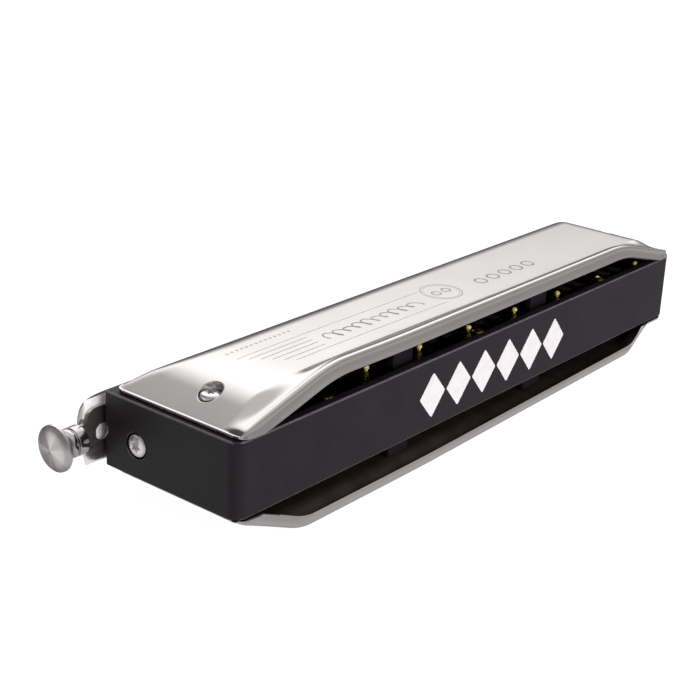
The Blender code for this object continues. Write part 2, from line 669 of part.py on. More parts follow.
def make_button(group):
    """Collar pressed on the slide's neck, and the round cap that the thumb pushes."""
    shell = material("button_plating", (0.72, 0.70, 0.70), 0.16, 1.0)
    centre = ((COLLAR_START + COLLAR_END) / 2, SLIDE_Y, BUTTON_Z)
    length = COLLAR_END - COLLAR_START
    rod = rod_mesh("button_collar", [(centre, "x", COLLAR_R, length)], 24)
    collar = add_object("button_collar", rod, group,
                        material("collar_plating", (0.66, 0.64, 0.64), 0.18, 1.0))
    bevel(collar, 0.3)
    slot = ((COLLAR_START - 1, SLIDE_Y - SLIDE_T / 2 - GAP, BUTTON_Z - 2.9),
            (COLLAR_START + 2.2, SLIDE_Y + SLIDE_T / 2 + GAP, BUTTON_Z + 2.9))
    boolean(collar, "DIFFERENCE", box_mesh("neck_slot", [slot]))
    bore = [((COLLAR_END, SLIDE_Y, BUTTON_Z), "x", 1.9, 3.6)]
    boolean(collar, "DIFFERENCE", rod_mesh("stem_bore", bore, 16))
    dome = [(CAP_R * math.sin(math.radians(turn)), CAP_T - 1.5 + 1.5 * math.cos(math.radians(turn)))
            for turn in (0, 20, 40, 60, 78)]
    profile = dome + [(CAP_R, CAP_T - 1.6), (CAP_R, 0.35), (CAP_R - 0.35, 0.0), (2.6, 0.0), (2.0, -0.9),
                      (1.6, -1.0), (1.6, -2.6), (0.0, -2.6)]
    cap = turned("button_cap", profile, 32, group, shell)
    cap.matrix_world = Matrix.Translation(Vector((CAP_START, SLIDE_Y, BUTTON_Z)) * MM) @ AXIS_TURN["x"]
    return collar, cap


# ---------------------------------------------------------------- spring and screws

def make_spring(group):
    """Wire spring: a fixed leg under the end screw, a small coil, and a free leg in the slide."""
    points = [(81.4, -7.8, SPRING_HIGH), (81.4, -12.0, SPRING_HIGH)]
    turns, steps = 2.25, 27
    for step in range(steps + 1):
        part = step / steps
        turn = math.pi - 2 * math.pi * turns * part
        z = SPRING_HIGH + (SPRING_LOW - SPRING_HIGH) * part
        points.append((SPRING_X + SPRING_R * math.cos(turn), SPRING_Y + SPRING_R * math.sin(turn), z))
    points.append((SPRING_X + 1.3, COMB_FRONT, SPRING_LOW))
    points.append((SPRING_X + 1.3, SLIDE_Y - SLIDE_T / 2 - 0.1, SPRING_LOW))
    curve = bpy.data.curves.new("slide_spring", "CURVE")
    curve.dimensions = "3D"
    curve.bevel_depth = WIRE_R * MM
    curve.bevel_resolution = 1
    curve.use_fill_caps = True
    line = curve.splines.new("POLY")
    line.points.add(len(points) - 1)
    for point, place in zip(line.points, points):
        point.co = (*(Vector(place) * MM), 1.0)
    return add_object("slide_spring", curve, group, material("spring_wire", (0.5, 0.5, 0.52), 0.3, 1.0))


def screw_profile(head_r, head_h, shank_r, length):
    """A round-headed screw along +Z with its head's underside at zero height."""
    return [(0.0, head_h), (head_r * 0.7, head_h), (head_r, head_h * 0.55), (head_r, 0.0),
            (shank_r, 0.0), (shank_r, -length), (0.0, -length)]


def make_screw(name, place, sizes, group, mat, sides=14, socket=0.45):
    """A screw, with a six-sided socket in its head where one is asked for."""
    head_r, head_h, shank_r, length = sizes
    screw = turned(name, screw_profile(*sizes), sides, group, mat)
    screw.matrix_world = place
    if socket:
        rods = [((0, 0, head_h), "z", head_r * 0.42, 2 * socket * head_h)]
        boolean(screw, "DIFFERENCE", rod_mesh("socket", rods, 6)).matrix_world = place
    return screw


def outward(side, x, y, height):
    """Placing for a screw whose head looks away from the comb's upper or lower face."""
    turn = Matrix.Identity(4) if side > 0 else Matrix.Rotation(math.pi, 4, "Y")
    return Matrix.Translation(Vector((x, y, face_z(side, height))) * MM) @ turn


def make_fasteners(group):
    """Cover screws with their inserts, reed plate screws, mouthpiece screws and the spring screw."""
    steel = material("screw_plating", (0.7, 0.69, 0.7), 0.2, 1.0)
    brass = material("insert_brass", (0.62, 0.48, 0.22), 0.3, 1.0)
    for side, word in ((1, "upper"), (-1, "lower")):
        for x, end in ((CUP_X, "right"), (-CUP_X, "left")):
            height = CUP_FLOOR + GAP
            make_screw(f"cover_screw_{word}_{end}", outward(side, x, CUP_Y, height),
                       (HEAD_R, 1.3, 0.9, height + 4.6), group, steel)
            sleeve = [(1.2, -0.4), (2.1, -0.4), (2.1, -5.0), (1.2, -5.0), (1.2, -0.4)]
            insert = turned(f"cover_insert_{word}_{end}", sleeve, 12, group, brass)
            insert.matrix_world = outward(side, x, CUP_Y, 0.0)
        number = 0
        for x in SCREW_COLUMNS:
            for y in SCREW_ROWS:
                number += 1
                make_screw(f"plate_screw_{word}_{number}", outward(side, x, y, -PLATE_SINK + GAP),
                           (1.5, 0.7, 0.65, 4.6), group, brass, sides=8, socket=0.0)
    for number, x in enumerate((MOUTH_SCREW_X, -MOUTH_SCREW_X), 1):
        face = Vector((x, MOUTH_BACK - MOUTH_DEPTH + 2.0 - GAP, PORT_Z)) * MM
        place = Matrix.Translation(face) @ Matrix.Rotation(math.pi / 2, 4, "X")
        make_screw(f"mouthpiece_screw_{number}", place, (2.0, 1.3, 0.9, 13.4), group, steel)
    place = Matrix.Translation(Vector((COMB_END - 1.1, END_SCREW_Y, END_SCREW_Z)) * MM) @ AXIS_TURN["x"]
    make_screw("spring_screw", place, (2.65, 1.3, 1.15, 6.6), group, steel, sides=20)


# ---------------------------------------------------------------- the whole

for old in list(bpy.data.objects):
    bpy.data.objects.remove(old)

PARTS = collection("slide_harmonica")
TOOLS = collection("cutters")

make_comb(PARTS)
BRASS = material("reed_brass", (0.63, 0.47, 0.2), 0.28, 1.0)
STEEL = material("cover_steel", (0.7, 0.68, 0.67), 0.22, 1.0)
make_reed_plate("reed_plate_upper", 1, PARTS, BRASS)
make_reed_plate("reed_plate_lower", -1, PARTS, BRASS)
make_cover("cover_upper", 1, PARTS, STEEL)
make_cover("cover_lower", -1, PARTS, STEEL)
make_mouthpiece(PARTS)
make_slide_cage(PARTS)
make_slide(PARTS)
make_button(PARTS)
make_spring(PARTS)
make_fasteners(PARTS)
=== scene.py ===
"""Looks of a slide harmonica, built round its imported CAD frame.

Shapes are made in millimetres in the row frame and scaled to metres when a piece is placed.
"""
import math

import bmesh
import bpy
import numpy as np
from mathutils import Matrix, Vector


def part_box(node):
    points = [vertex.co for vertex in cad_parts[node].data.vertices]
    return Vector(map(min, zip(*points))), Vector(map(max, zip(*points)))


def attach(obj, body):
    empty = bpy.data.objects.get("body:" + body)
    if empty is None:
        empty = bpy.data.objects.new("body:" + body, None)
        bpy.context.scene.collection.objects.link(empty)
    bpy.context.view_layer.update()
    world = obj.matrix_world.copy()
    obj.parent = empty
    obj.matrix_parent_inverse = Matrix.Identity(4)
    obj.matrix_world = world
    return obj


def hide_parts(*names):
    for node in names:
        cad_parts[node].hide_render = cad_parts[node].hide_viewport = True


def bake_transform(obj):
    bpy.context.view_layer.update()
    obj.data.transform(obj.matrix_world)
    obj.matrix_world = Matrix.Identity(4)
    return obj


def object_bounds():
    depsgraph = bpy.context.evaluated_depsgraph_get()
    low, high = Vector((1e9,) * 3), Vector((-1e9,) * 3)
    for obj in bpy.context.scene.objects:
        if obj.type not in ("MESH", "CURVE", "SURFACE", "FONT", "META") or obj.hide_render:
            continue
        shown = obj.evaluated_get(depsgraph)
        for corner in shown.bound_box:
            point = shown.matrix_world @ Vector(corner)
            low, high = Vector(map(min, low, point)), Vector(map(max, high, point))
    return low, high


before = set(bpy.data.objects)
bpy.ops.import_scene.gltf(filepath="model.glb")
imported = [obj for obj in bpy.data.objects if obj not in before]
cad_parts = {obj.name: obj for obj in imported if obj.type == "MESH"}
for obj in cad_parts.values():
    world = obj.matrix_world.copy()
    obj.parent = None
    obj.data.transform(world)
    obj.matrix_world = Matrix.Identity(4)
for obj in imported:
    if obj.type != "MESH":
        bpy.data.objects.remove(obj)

CAD_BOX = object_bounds()
MM = 0.001
SCENE = bpy.context.scene


def node_box(node):
    """A CAD node's lowest and highest corners, in millimetres."""
    low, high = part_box(node)
    return low / MM, high / MM


# ---- sizes, in millimetres

COMB_LOW, COMB_HIGH = node_box("comb")
COVER_LOW, COVER_HIGH = node_box("cover_upper")
SLIDE_LOW, SLIDE_HIGH = node_box("slide")
MOUTH_LOW, MOUTH_HIGH = node_box("mouthpiece")
COLLAR_LOW, COLLAR_HIGH = node_box("button_collar")
CAP_LOW, CAP_HIGH = node_box("button_cap")
COVER_SCREW_LOW, COVER_SCREW_HIGH = node_box("cover_screw_upper_right")
END_SCREW_LOW, END_SCREW_HIGH = node_box("spring_screw")
MOUTH_SCREW_LOW, MOUTH_SCREW_HIGH = node_box("mouthpiece_screw_1")

HOLES, PITCH = 16, 9.3
GAP = 0.3
COMB_H = 17.35                  # between the comb's faces; its node's box takes in the posts
COMB_MID = (COMB_LOW.z + COMB_HIGH.z) / 2
COMB_TOP, COMB_BOTTOM = COMB_MID + COMB_H / 2, COMB_MID - COMB_H / 2
COMB_FRONT, COMB_BACK, COMB_END = COMB_LOW.y, COMB_HIGH.y, COMB_HIGH.x
PORT_Z = (MOUTH_LOW.z + MOUTH_HIGH.z) / 2
AXIS_Z = (CAP_LOW.z + CAP_HIGH.z) / 2
SLIDE_Y = (SLIDE_LOW.y + SLIDE_HIGH.y) / 2
TRAVEL = 4.5

BACK_CORNER, FRONT_CORNER, COMB_RIM = 3.0, 0.5, 0.35

PLATE_SINK, PLATE_T = 1.15, 1.0
POCKET_Y, POCKET_X = 17.1, 75.6
POST_X, POST_W, POST_FRONT, POST_BACK = 3 * PITCH, 7.2, 12.2, 14.2
SLOT_W, SLOT_FRONT = 2.6, -13.4
REED_OFFSET = 1.95              # a chamber's two reeds lie this far either side of its middle
RIVET_Y, RIVET_SLOPE = 12.3, 0.04
SCREW_ROWS = (-15.3, 15.2)
SCREW_COLUMNS = (-6 * PITCH, 0.0, 6 * PITCH)
CHANNEL_W, CHANNEL_FRONT = PITCH - 1.9, -16.2
PORT_W, PORT_LOW, PORT_HIGH = 4.4, 0.6, 3.3

SHEET = 0.6
COVER_HALF_L = COVER_HIGH.x
COVER_FRONT, COVER_BACK = COVER_LOW.y, COMB_BACK
COVER_CORNER = 2.2
DECK_RISE, COVER_RISE = 7.0, 9.3
RIM_LINES = {("upper", "near"): (1.67, 0.28), ("upper", "far"): (1.67, 0.28),
             ("lower", "near"): (0.8, 0.44), ("lower", "far"): (-5.2, 0.75)}
UPPER_RIM_DIP, UPPER_RIM_START, UPPER_RIM_SPAN = 0.45, 62.0, 30.0
LOWER_RIM_TAPER, LOWER_RIM_START = 0.02, 25.0
DECK_TAPER, DECK_TAPER_START = 0.01, 45.0
RAMP_START, RAMP_SLOPE = 0.69, 0.56     # a cover's end climbs fast at first,
EASE_START, EASE_SLOPE = 5.1, 0.1       # then slower, before it is flat
FOOT_SLOPE, END_FOOT, FRONT_FOOT = 1.1, 0.4, -16.9
FLANK_Y, FLANK_H, FLANK_SLOPE = -12.4, 4.5, 0.53
FLANGE_H = GAP + SHEET
BEAD_R, BEAD_DIP = 0.95, 0.3
LIP_DROP, LIP_FLARE = 2.9, 1.1
RISE_Y = 13.3
CUP_X = (COVER_SCREW_LOW.x + COVER_SCREW_HIGH.x) / 2
CUP_Y = (COVER_SCREW_LOW.y + COVER_SCREW_HIGH.y) / 2
CUP_R, HEAD_R, HEAD_H = 2.6, 2.2, 1.3
CUP_FLOOR = COVER_SCREW_HIGH.z - COMB_TOP - HEAD_H - GAP
SHANK_R = 1.3
PATCH, PATCH_STEPS = 3.9, 16    # half width and divisions of the square of sheet round a cover screw

MOUTH_SCREW_X = (MOUTH_SCREW_LOW.x + MOUTH_SCREW_HIGH.x) / 2
MOUTH_HOLE_R, MOUTH_LEAN, MOUTH_END, MOUTH_EDGE = 2.7, 4.0, 10.0, 1.0
END_SCREW_Y = (END_SCREW_LOW.y + END_SCREW_HIGH.y) / 2
END_SCREW_Z = (END_SCREW_LOW.z + END_SCREW_HIGH.z) / 2

NECK_HALF_H = 2.6
TAIL_HOLE_X, TAIL_HOLE_R = 87.1, 1.9
WINDOW_W = 4.2

# Directions in which the surroundings are brighter or darker
SOFTBOX_WAY, SOFTBOX = (-0.72, -0.55, 0.42), 0.95
FLAG_WAY = (0.434, -0.582, 0.687)
SHADOW_WAY = (-0.73, -0.63, -0.27)
LOW_GLOW_WAY, LOW_GLOW = (0.725, -0.58, -0.37), 0.3
SKY_LEVELS = ((-90, 0.3), (-45, 0.42), (-20, 0.45), (-5, 0.4), (0, 0.3), (15, 0.3), (38, 0.38), (54, 0.62),
              (90, 0.62))       # (degrees above the horizon, brightness)
FLOOR_DROP = 0.0002             # metres under the object's lowest point

SPRING_X, SPRING_Y, SPRING_R, WIRE_R = 83.2, -15.8, 1.9, 0.35
SPRING_LOW, SPRING_HIGH = COMB_BOTTOM + 3.6, COMB_BOTTOM + 5.5
SPRING_LEG_X = SPRING_X + 1.3
SPRING_HOLLOWS = (              # room for the coil and for the fixed leg, and a notch at the comb's end
    ((80.6, COMB_FRONT - 1, COMB_BOTTOM + 2.7), (86.3, -12.9, COMB_BOTTOM + 9.6)),
    ((80.7, -13.5, COMB_BOTTOM + 4.8), (82.1, -7.4, COMB_BOTTOM + 6.6)),
    ((86.0, COMB_FRONT - 1, COMB_BOTTOM + 6.3), (COMB_END + 1, COMB_FRONT + 1, COMB_BOTTOM + 9.4)),
)


# ---- mesh helpers

def soft_min(a, b, blend):
    """The smaller of two values, rounded over where they are closer than blend."""
    near = max(blend - abs(a - b), 0.0) / blend
    return min(a, b) - near * near * blend / 4


def smooth(t):
    """A smooth step from 0 to 1."""
    t = min(max(t, 0.0), 1.0)
    return t * t * (3 - 2 * t)


def to_mesh(bm):
    """A bmesh as a mesh with outward faces."""
    bmesh.ops.recalc_face_normals(bm, faces=bm.faces[:])
    mesh = bpy.data.meshes.new("work")
    bm.to_mesh(mesh)
    bm.free()
    return mesh


def evaluated(obj):
    """An object's mesh after its modifiers or its curve's thickness. The object is removed."""
    SCENE.collection.objects.link(obj)
    bpy.context.view_layer.update()
    graph = bpy.context.evaluated_depsgraph_get()
    result = bpy.data.meshes.new_from_object(obj.evaluated_get(graph), depsgraph=graph)
    bpy.data.objects.remove(obj)
    return result


def applied(mesh, *steps):
    """The mesh after modifiers, each given as (type, settings)."""
    obj = bpy.data.objects.new("work", mesh)
    for kind, settings in steps:
        step = obj.modifiers.new(kind.title(), kind)
        for key, value in settings.items():
            setattr(step, key, value)
    return evaluated(obj)


def combined(mesh, tool, operation="DIFFERENCE"):
    """A boolean of two meshes."""
    other = bpy.data.objects.new("tool", tool)
    SCENE.collection.objects.link(other)
    result = applied(mesh, ("BOOLEAN", {"operation": operation, "solver": "EXACT", "object": other}))
    bpy.data.objects.remove(other)
    return result


def bevelled(mesh, width, segments=2, angle=40):
    """The mesh with its sharp edges rounded."""
    settings = {"width": width, "segments": segments, "limit_method": "ANGLE",
                "angle_limit": math.radians(angle), "use_clamp_overlap": True}
    return applied(mesh, ("BEVEL", settings))


def cleaned(mesh, angle=0.5):
    """The mesh with doubled points merged and flat areas joined."""
    bm = bmesh.new()
    bm.from_mesh(mesh)
    bmesh.ops.remove_doubles(bm, verts=bm.verts[:], dist=0.0005)
    bmesh.ops.dissolve_limit(bm, angle_limit=math.radians(angle), verts=bm.verts[:], edges=bm.edges[:])
    return to_mesh(bm)


def piece(name, mesh, materials, stands_for=(), body="body", angle=32, weighted=True):
    """Place a mesh made in millimetres as a piece of the object."""
    mesh.transform(Matrix.Scale(MM, 4))
    if len(mesh.materials):
        mesh.materials.clear()
    for mat in materials:
        mesh.materials.append(mat)
    mesh.polygons.foreach_set("use_smooth", [True] * len(mesh.polygons))
    mesh.set_sharp_from_angle(angle=math.radians(angle))
    if weighted:
        mesh = applied(mesh, ("WEIGHTED_NORMAL", {"keep_sharp": True, "weight": 80}))
    mesh.name = name
    obj = bpy.data.objects.new(name, mesh)
    SCENE.collection.objects.link(obj)
    if body:
        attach(obj, body)
    if stands_for:
        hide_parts(*stands_for)
    return obj


def boxes(items):
    """Boxes given as (low corner, high corner)."""
    bm = bmesh.new()
    for low, high in items:
        low, high = Vector(low), Vector(high)
        place = Matrix.Translation((low + high) / 2) @ Matrix.Diagonal((*(high - low), 1.0))
        bmesh.ops.create_cube(bm, size=1.0, matrix=place)
    return to_mesh(bm)


AXIS_TURN = {
    "x": Matrix.Rotation(math.pi / 2, 4, "Y"),
    "y": Matrix.Rotation(-math.pi / 2, 4, "X"),
    "-y": Matrix.Rotation(math.pi / 2, 4, "X"),
    "z": Matrix.Identity(4),
}


def rods(items, sides=32):
    """Round bars given as (centre, axis, radius, length)."""
    bm = bmesh.new()
    for centre, axis, radius, length in items:
        place = Matrix.Translation(centre) @ AXIS_TURN[axis]
        bmesh.ops.create_cone(bm, cap_ends=True, segments=sides, radius1=radius, radius2=radius,
                              depth=length, matrix=place)
    return to_mesh(bm)


def lathe(profile, sides, place=Matrix.Identity(4), ring=False):
    """A solid turned about Z from (radius, height) points. A ring's profile closes on itself."""
    bm = bmesh.new()
    rows = []
    for radius, height in profile:
        if radius < 1e-6:
            rows.append([bm.verts.new((0.0, 0.0, height))])
            continue
        turns = [2 * math.pi * k / sides for k in range(sides)]
        rows.append([bm.verts.new((radius * math.cos(t), radius * math.sin(t), height)) for t in turns])
    pairs = list(zip(rows, rows[1:]))
    if ring:
        pairs.append((rows[-1], rows[0]))
    for first, second in pairs:
        for k in range(sides):
            n = (k + 1) % sides
            corners = [first[k % len(first)], first[n % len(first)]]
            corners += [second[n % len(second)], second[k % len(second)]]
            unique = list(dict.fromkeys(corners))
            if len(unique) > 2:
                bm.faces.new(unique)
    bmesh.ops.transform(bm, matrix=place, verts=bm.verts[:])
    return to_mesh(bm)


def bridge(bm, first, second, skin=0):
    """Faces between two loops of equally many points."""
    for k in range(len(first)):
        n = (k + 1) % len(first)
        bm.faces.new((first[k], first[n], second[n], second[k])).material_index = skin


def tube(bm, rings, closed=False):
    """Faces through rings of equally many points, and over both ends unless it closes on itself."""
    rows = [[bm.verts.new(point) for point in ring] for ring in rings]
    if closed:
        rows.append(rows[0])
    else:
        bm.faces.new(rows[0][::-1])
        bm.faces.new(rows[-1])
    for first, second in zip(rows, rows[1:]):
        bridge(bm, first, second)


def loft(rings, closed=False):
    """A body through rings of equally many points."""
    bm = bmesh.new()
    tube(bm, rings, closed)
    return to_mesh(bm)


def prism(outline, low, high, place):
    """A prism along Z over an outline of (x, y) points."""
    mesh = loft([[(x, y, z) for x, y in outline] for z in (low, high)])
    mesh.transform(place)
    return mesh


def drilled(mesh, holes, sides=32):
    """The mesh less some round bars."""
    return combined(mesh, rods(holes, sides))


def cut(mesh, items):
    """The mesh less some boxes."""
    return combined(mesh, boxes(items))


def joined(meshes):
    """Several meshes as one."""
    bm = bmesh.new()
    for mesh in meshes:
        bm.from_mesh(mesh)
    result = bpy.data.meshes.new("work")
    bm.to_mesh(result)
    bm.free()
    return result


def arc(centre, radius, start, end, steps):
    """Points of an arc, with angles in degrees."""
    turns = np.radians(np.linspace(start, end, steps + 1))
    return [(centre[0] + radius * math.cos(t), centre[1] + radius * math.sin(t)) for t in turns]


def face_z(side, height):
    """Height at a distance outside the comb's upper (+1) or lower (-1) face."""
    return COMB_TOP + height if side > 0 else COMB_BOTTOM - height


def side_box(side, x, y, heights):
    """A box whose heights are counted outwards from the comb's upper or lower face."""
    z = sorted((face_z(side, heights[0]), face_z(side, heights[1])))
    return (x[0], y[0], z[0]), (x[1], y[1], z[1])


def outward(side, x, y, height):
    """Placing for something that looks away from the comb's upper or lower face."""
    turn = Matrix.Identity(4) if side > 0 else Matrix.Rotation(math.pi, 4, "Y")
    return Matrix.Translation((x, y, face_z(side, height))) @ turn


def around(middle, width):
    """The two ends of a span."""
    return middle - width / 2, middle + width / 2


def hole_x(index):
    """Place of a mouth hole along the comb."""
    return (index - (HOLES - 1) / 2) * PITCH


def rivet_y(x):
    """Where a reed is riveted: further back for the long reeds at the low end."""
    y = RIVET_Y - RIVET_SLOPE * x
    if abs(abs(x) - POST_X) < POST_W / 2 + 2.0:
        y = POST_FRONT - 1.9
    return y


# ---- materials

class Look:
    """A node material under construction."""

    def __init__(self, name, colour, roughness, metallic):
        self.mat = bpy.data.materials.new(name)
        self.mat.use_nodes = True
        self.tree = self.mat.node_tree
        self.shader = self.tree.nodes["Principled BSDF"]
        self.shader.inputs["Base Color"].default_value = (*colour, 1.0)
        self.shader.inputs["Roughness"].default_value = roughness
        self.shader.inputs["Metallic"].default_value = metallic
        self.colour = colour
        self.place = self.node("ShaderNodeTexCoord").outputs["Object"]

    def node(self, kind, **values):
        """A node with its properties or input values set."""
        made = self.tree.nodes.new(kind)
        for key, value in values.items():
            if key in made.inputs:
                made.inputs[key].default_value = value
            else:
                setattr(made, key, value)
        return made

    def link(self, source, target):
        """Join an output to an input."""
        self.tree.links.new(source, target)

    def mapped(self, vector, **values):
        """Coordinates moved, turned or scaled."""
        mapping = self.node("ShaderNodeMapping", **values)
        self.link(vector, mapping.inputs["Vector"])
        return mapping.outputs["Vector"]

    def noise(self, scale, detail=3.0, rough=0.5, stretch=(1, 1, 1)):
        """Noise over the object, with scale in features per metre."""
        noise = self.node("ShaderNodeTexNoise", Scale=scale, Detail=detail, Roughness=rough)
        self.link(self.mapped(self.place, Scale=stretch), noise.inputs["Vector"])
        return noise.outputs["Fac"]

    def spread(self, fac, low, high, start=0.3, end=0.7):
        """A value brought from one range to another."""
        ends = {"From Min": start, "From Max": end, "To Min": low, "To Max": high}
        remap = self.node("ShaderNodeMapRange", **ends)
        self.link(fac, remap.inputs["Value"])
        return remap.outputs["Result"]

    def vary_colour(self, fac, other, start=0.3, end=0.7):
        """Mix the base colour towards another by a noise."""
        mix = self.node("ShaderNodeMix", data_type="RGBA")
        old = self.shader.inputs["Base Color"]
        if old.is_linked:
            self.link(old.links[0].from_socket, mix.inputs[6])
        else:
            mix.inputs[6].default_value = (*self.colour, 1.0)
        mix.inputs[7].default_value = (*other, 1.0)
        self.link(self.spread(fac, 0.0, 1.0, start, end), mix.inputs[0])
        self.link(mix.outputs[2], old)

    def vary_roughness(self, fac, low, high, start=0.3, end=0.7):
        """Let a noise set the roughness between two values."""
        self.link(self.spread(fac, low, high, start, end), self.shader.inputs["Roughness"])

    def bump(self, fac, depth):
        """Add a relief whose full height is given in millimetres."""
        bump = self.node("ShaderNodeBump", Strength=1.0, Distance=depth * MM)
        self.link(fac, bump.inputs["Height"])
        target = self.shader.inputs["Normal"]
        if target.is_linked:
            self.link(target.links[0].from_socket, bump.inputs["Normal"])
        self.link(bump.outputs["Normal"], target)


def finish(name, surface, colour, other, patches, fade, marks=None, rough=None, relief=None, depth=0.0):
    """A material with patches of another colour, marks that change its roughness, and a relief.

    surface is (roughness, metallic). patches, marks and relief are noises, and fade and rough are ranges.
    """
    look = Look(name, colour, *surface)
    look.vary_colour(look.noise(*patches), other, *fade)
    grain = look.noise(*marks) if marks else None
    if rough:
        look.vary_roughness(grain, *rough)
    if depth:
        look.bump(look.noise(*relief) if relief else grain, depth)
    return look


def brass(name, colour, dull, grain):
    """Rolled or turned brass with patches that have dulled."""
    return finish(name, (0.3, 1.0), colour, dull, (200, 4), (0.4, 0.75), (1100, 3, 0.6, grain), (0.22, 0.4),
                  depth=0.001).mat


def plating(name, colour, dull, rough, grain=(1, 1, 1), metallic=1.0):
    """Bright plating with faint marks."""
    return finish(name, (rough, metallic), colour, dull, (90, 3), (0.4, 0.75), (1200, 3, 0.6, grain),
                  (rough * 0.75, rough * 1.35), depth=0.0006).mat


def paint(name, colour, other, rough):
    """Printed paint, a little uneven."""
    return finish(name, (rough, 0.0), colour, other, (500, 3), (0.35, 0.75), relief=(4000, 2),
                  depth=0.003).mat


def turned_plating():
    """The button's face, turned on a lathe: its marks run in rings, so its shine opens in fans, and darker
    fans are also painted into its colour as reflection.
    """
    look = Look("button_plating", (0.93, 0.90, 0.89), 0.26, 1.0)
    look.shader.inputs["Anisotropic"].default_value = 0.85
    tangent = look.node("ShaderNodeTangent", direction_type="RADIAL", axis="X")
    look.link(tangent.outputs["Tangent"], look.shader.inputs["Tangent"])
    centre = look.mapped(look.place, Location=(0.0, -SLIDE_Y * MM, -AXIS_Z * MM), Scale=(0.0, 1.0, 1.0))
    length = look.node("ShaderNodeVectorMath", operation="LENGTH")
    look.link(centre, length.inputs[0])
    rings = look.node("ShaderNodeTexNoise", noise_dimensions="1D", Scale=9000.0, Detail=2.0)
    look.link(length.outputs["Value"], rings.inputs["W"])
    look.vary_roughness(rings.outputs["Fac"], 0.24, 0.36)
    look.bump(rings.outputs["Fac"], 0.0012)
    # Darker wedges round the axis: painted reflection in the colour
    sweep = look.node("ShaderNodeTexGradient", gradient_type="RADIAL")
    look.link(look.mapped(centre, Rotation=(0.0, math.radians(90), 0.0)), sweep.inputs["Vector"])
    painted_fans = look.node("ShaderNodeTexNoise", noise_dimensions="1D", Scale=4.5, Detail=0.5)
    look.link(sweep.outputs["Fac"], painted_fans.inputs["W"])
    look.vary_colour(painted_fans.outputs["Fac"], (0.42, 0.395, 0.395), 0.4, 0.62)
    return look.mat


# Black plastic with a fine moulded grain, and its rims, smoother and with a painted highlight that makes them
# lighter
MOULDED = finish("comb_plastic", (0.44, 0.0), (0.0075, 0.006, 0.0078), (0.0105, 0.0085, 0.011), (120, 4),
                 (0.35, 0.75), (2600, 2), (0.38, 0.5), (3200, 2), 0.006)
MOULDED.shader.inputs["Specular IOR Level"].default_value = 0.3
PLASTIC = MOULDED.mat
RIM_PLASTIC_PAINTED_HIGHLIGHT = finish("comb_rim", (0.3, 0.0), (0.06, 0.056, 0.062), (0.035, 0.031, 0.036), (200, 4),
                        (0.4, 0.8), (2600, 2), (0.24, 0.38)).mat
# Polished steel with faint lengthwise grinding marks, and the inside of a cover painted dark brown as shade
COVER_STEEL = finish("cover_steel", (0.2, 1.0), (0.83, 0.80, 0.79), (0.78, 0.755, 0.75), (60, 3), (0.4, 0.7),
                     (900, 3, 0.6, (0.02, 1, 1)), (0.16, 0.21), depth=0.0002).mat
SHADE_PAINTED_INSIDE = finish("cover_inside", (0.5, 0.9), (0.115, 0.088, 0.08), (0.07, 0.052, 0.046), (160, 4),
                      (0.35, 0.7), (900, 3, 0.6, (0.05, 1, 1)), (0.4, 0.6), (1400, 2, 0.5, (0.1, 1, 1)),
                      0.002).mat
# The mouthpiece's pale blasted back, and brass pins between the chambers, half diffuse so they shine as a
# painted glint
MOUTH_BACK = finish("mouthpiece_back", (0.5, 0.2), (0.82, 0.79, 0.80), (0.74, 0.71, 0.72), (300, 4),
                    (0.35, 0.75), (2600, 2), (0.42, 0.58), (3600, 2), 0.004).mat
PINS_WITH_PAINTED_GLINT = finish("pin_brass", (0.3, 0.55), (0.92, 0.74, 0.20), (0.78, 0.60, 0.15), (400, 3), (0.4, 0.75),
                   (1800, 2), (0.24, 0.38), (2200, 2), 0.002).mat
COVER_EDGE = plating("cover_edge", (0.30, 0.285, 0.285), (0.24, 0.225, 0.225), 0.35, (1, 0.05, 1))
# Reeds and their rivets: brass made near black, painted shade inside the chambers
SHADE_PAINTED_REEDS = brass("reed_brass", (0.045, 0.033, 0.02), (0.03, 0.022, 0.014), (1, 0.05, 1))
TURNED_BRASS = brass("turned_brass", (0.72, 0.60, 0.22), (0.5, 0.40, 0.15), (1, 1, 1))
# The reed plates' sheet: brass made near black, painted shade inside the chambers
SHADE_PAINTED_PLATE = brass("plate_brass", (0.035, 0.025, 0.016), (0.022, 0.016, 0.011), (0.05, 1, 1))
MOUTH_PLATE = plating("mouthpiece_plating", (0.86, 0.85, 0.86), (0.80, 0.78, 0.79), 0.1, (0.03, 1, 1))
CAGE_PLATE = plating("cage_plating", (0.62, 0.61, 0.62), (0.52, 0.50, 0.51), 0.24, (0.04, 1, 1))
SLIDE_STEEL = plating("slide_steel", (0.50, 0.46, 0.44), (0.42, 0.385, 0.37), 0.3, (0.04, 1, 1), 0.965)
COLLAR_PLATE = plating("collar_plating", (0.74, 0.72, 0.72), (0.66, 0.64, 0.64), 0.12, (0.05, 1, 1))
SCREW_PLATE = plating("screw_plating", (0.95, 0.93, 0.94), (0.86, 0.84, 0.85), 0.22)
WIRE = plating("spring_wire", (0.58, 0.58, 0.6), (0.45, 0.45, 0.47), 0.26, (1, 1, 0.1))
BUTTON_PLATE = turned_plating()
WHITE_PRINT = paint("white_print", (0.54, 0.515, 0.53), (0.50, 0.475, 0.49), 0.5)
ENGRAVING = paint("engraving", (0.16, 0.15, 0.155), (0.24, 0.225, 0.23), 0.6)
# Valves made near black: painted shade inside the chambers
SHADE_PAINTED_VALVES = paint("valve_film", (0.012, 0.01, 0.009), (0.009, 0.007, 0.006), 0.5)


# ---- comb

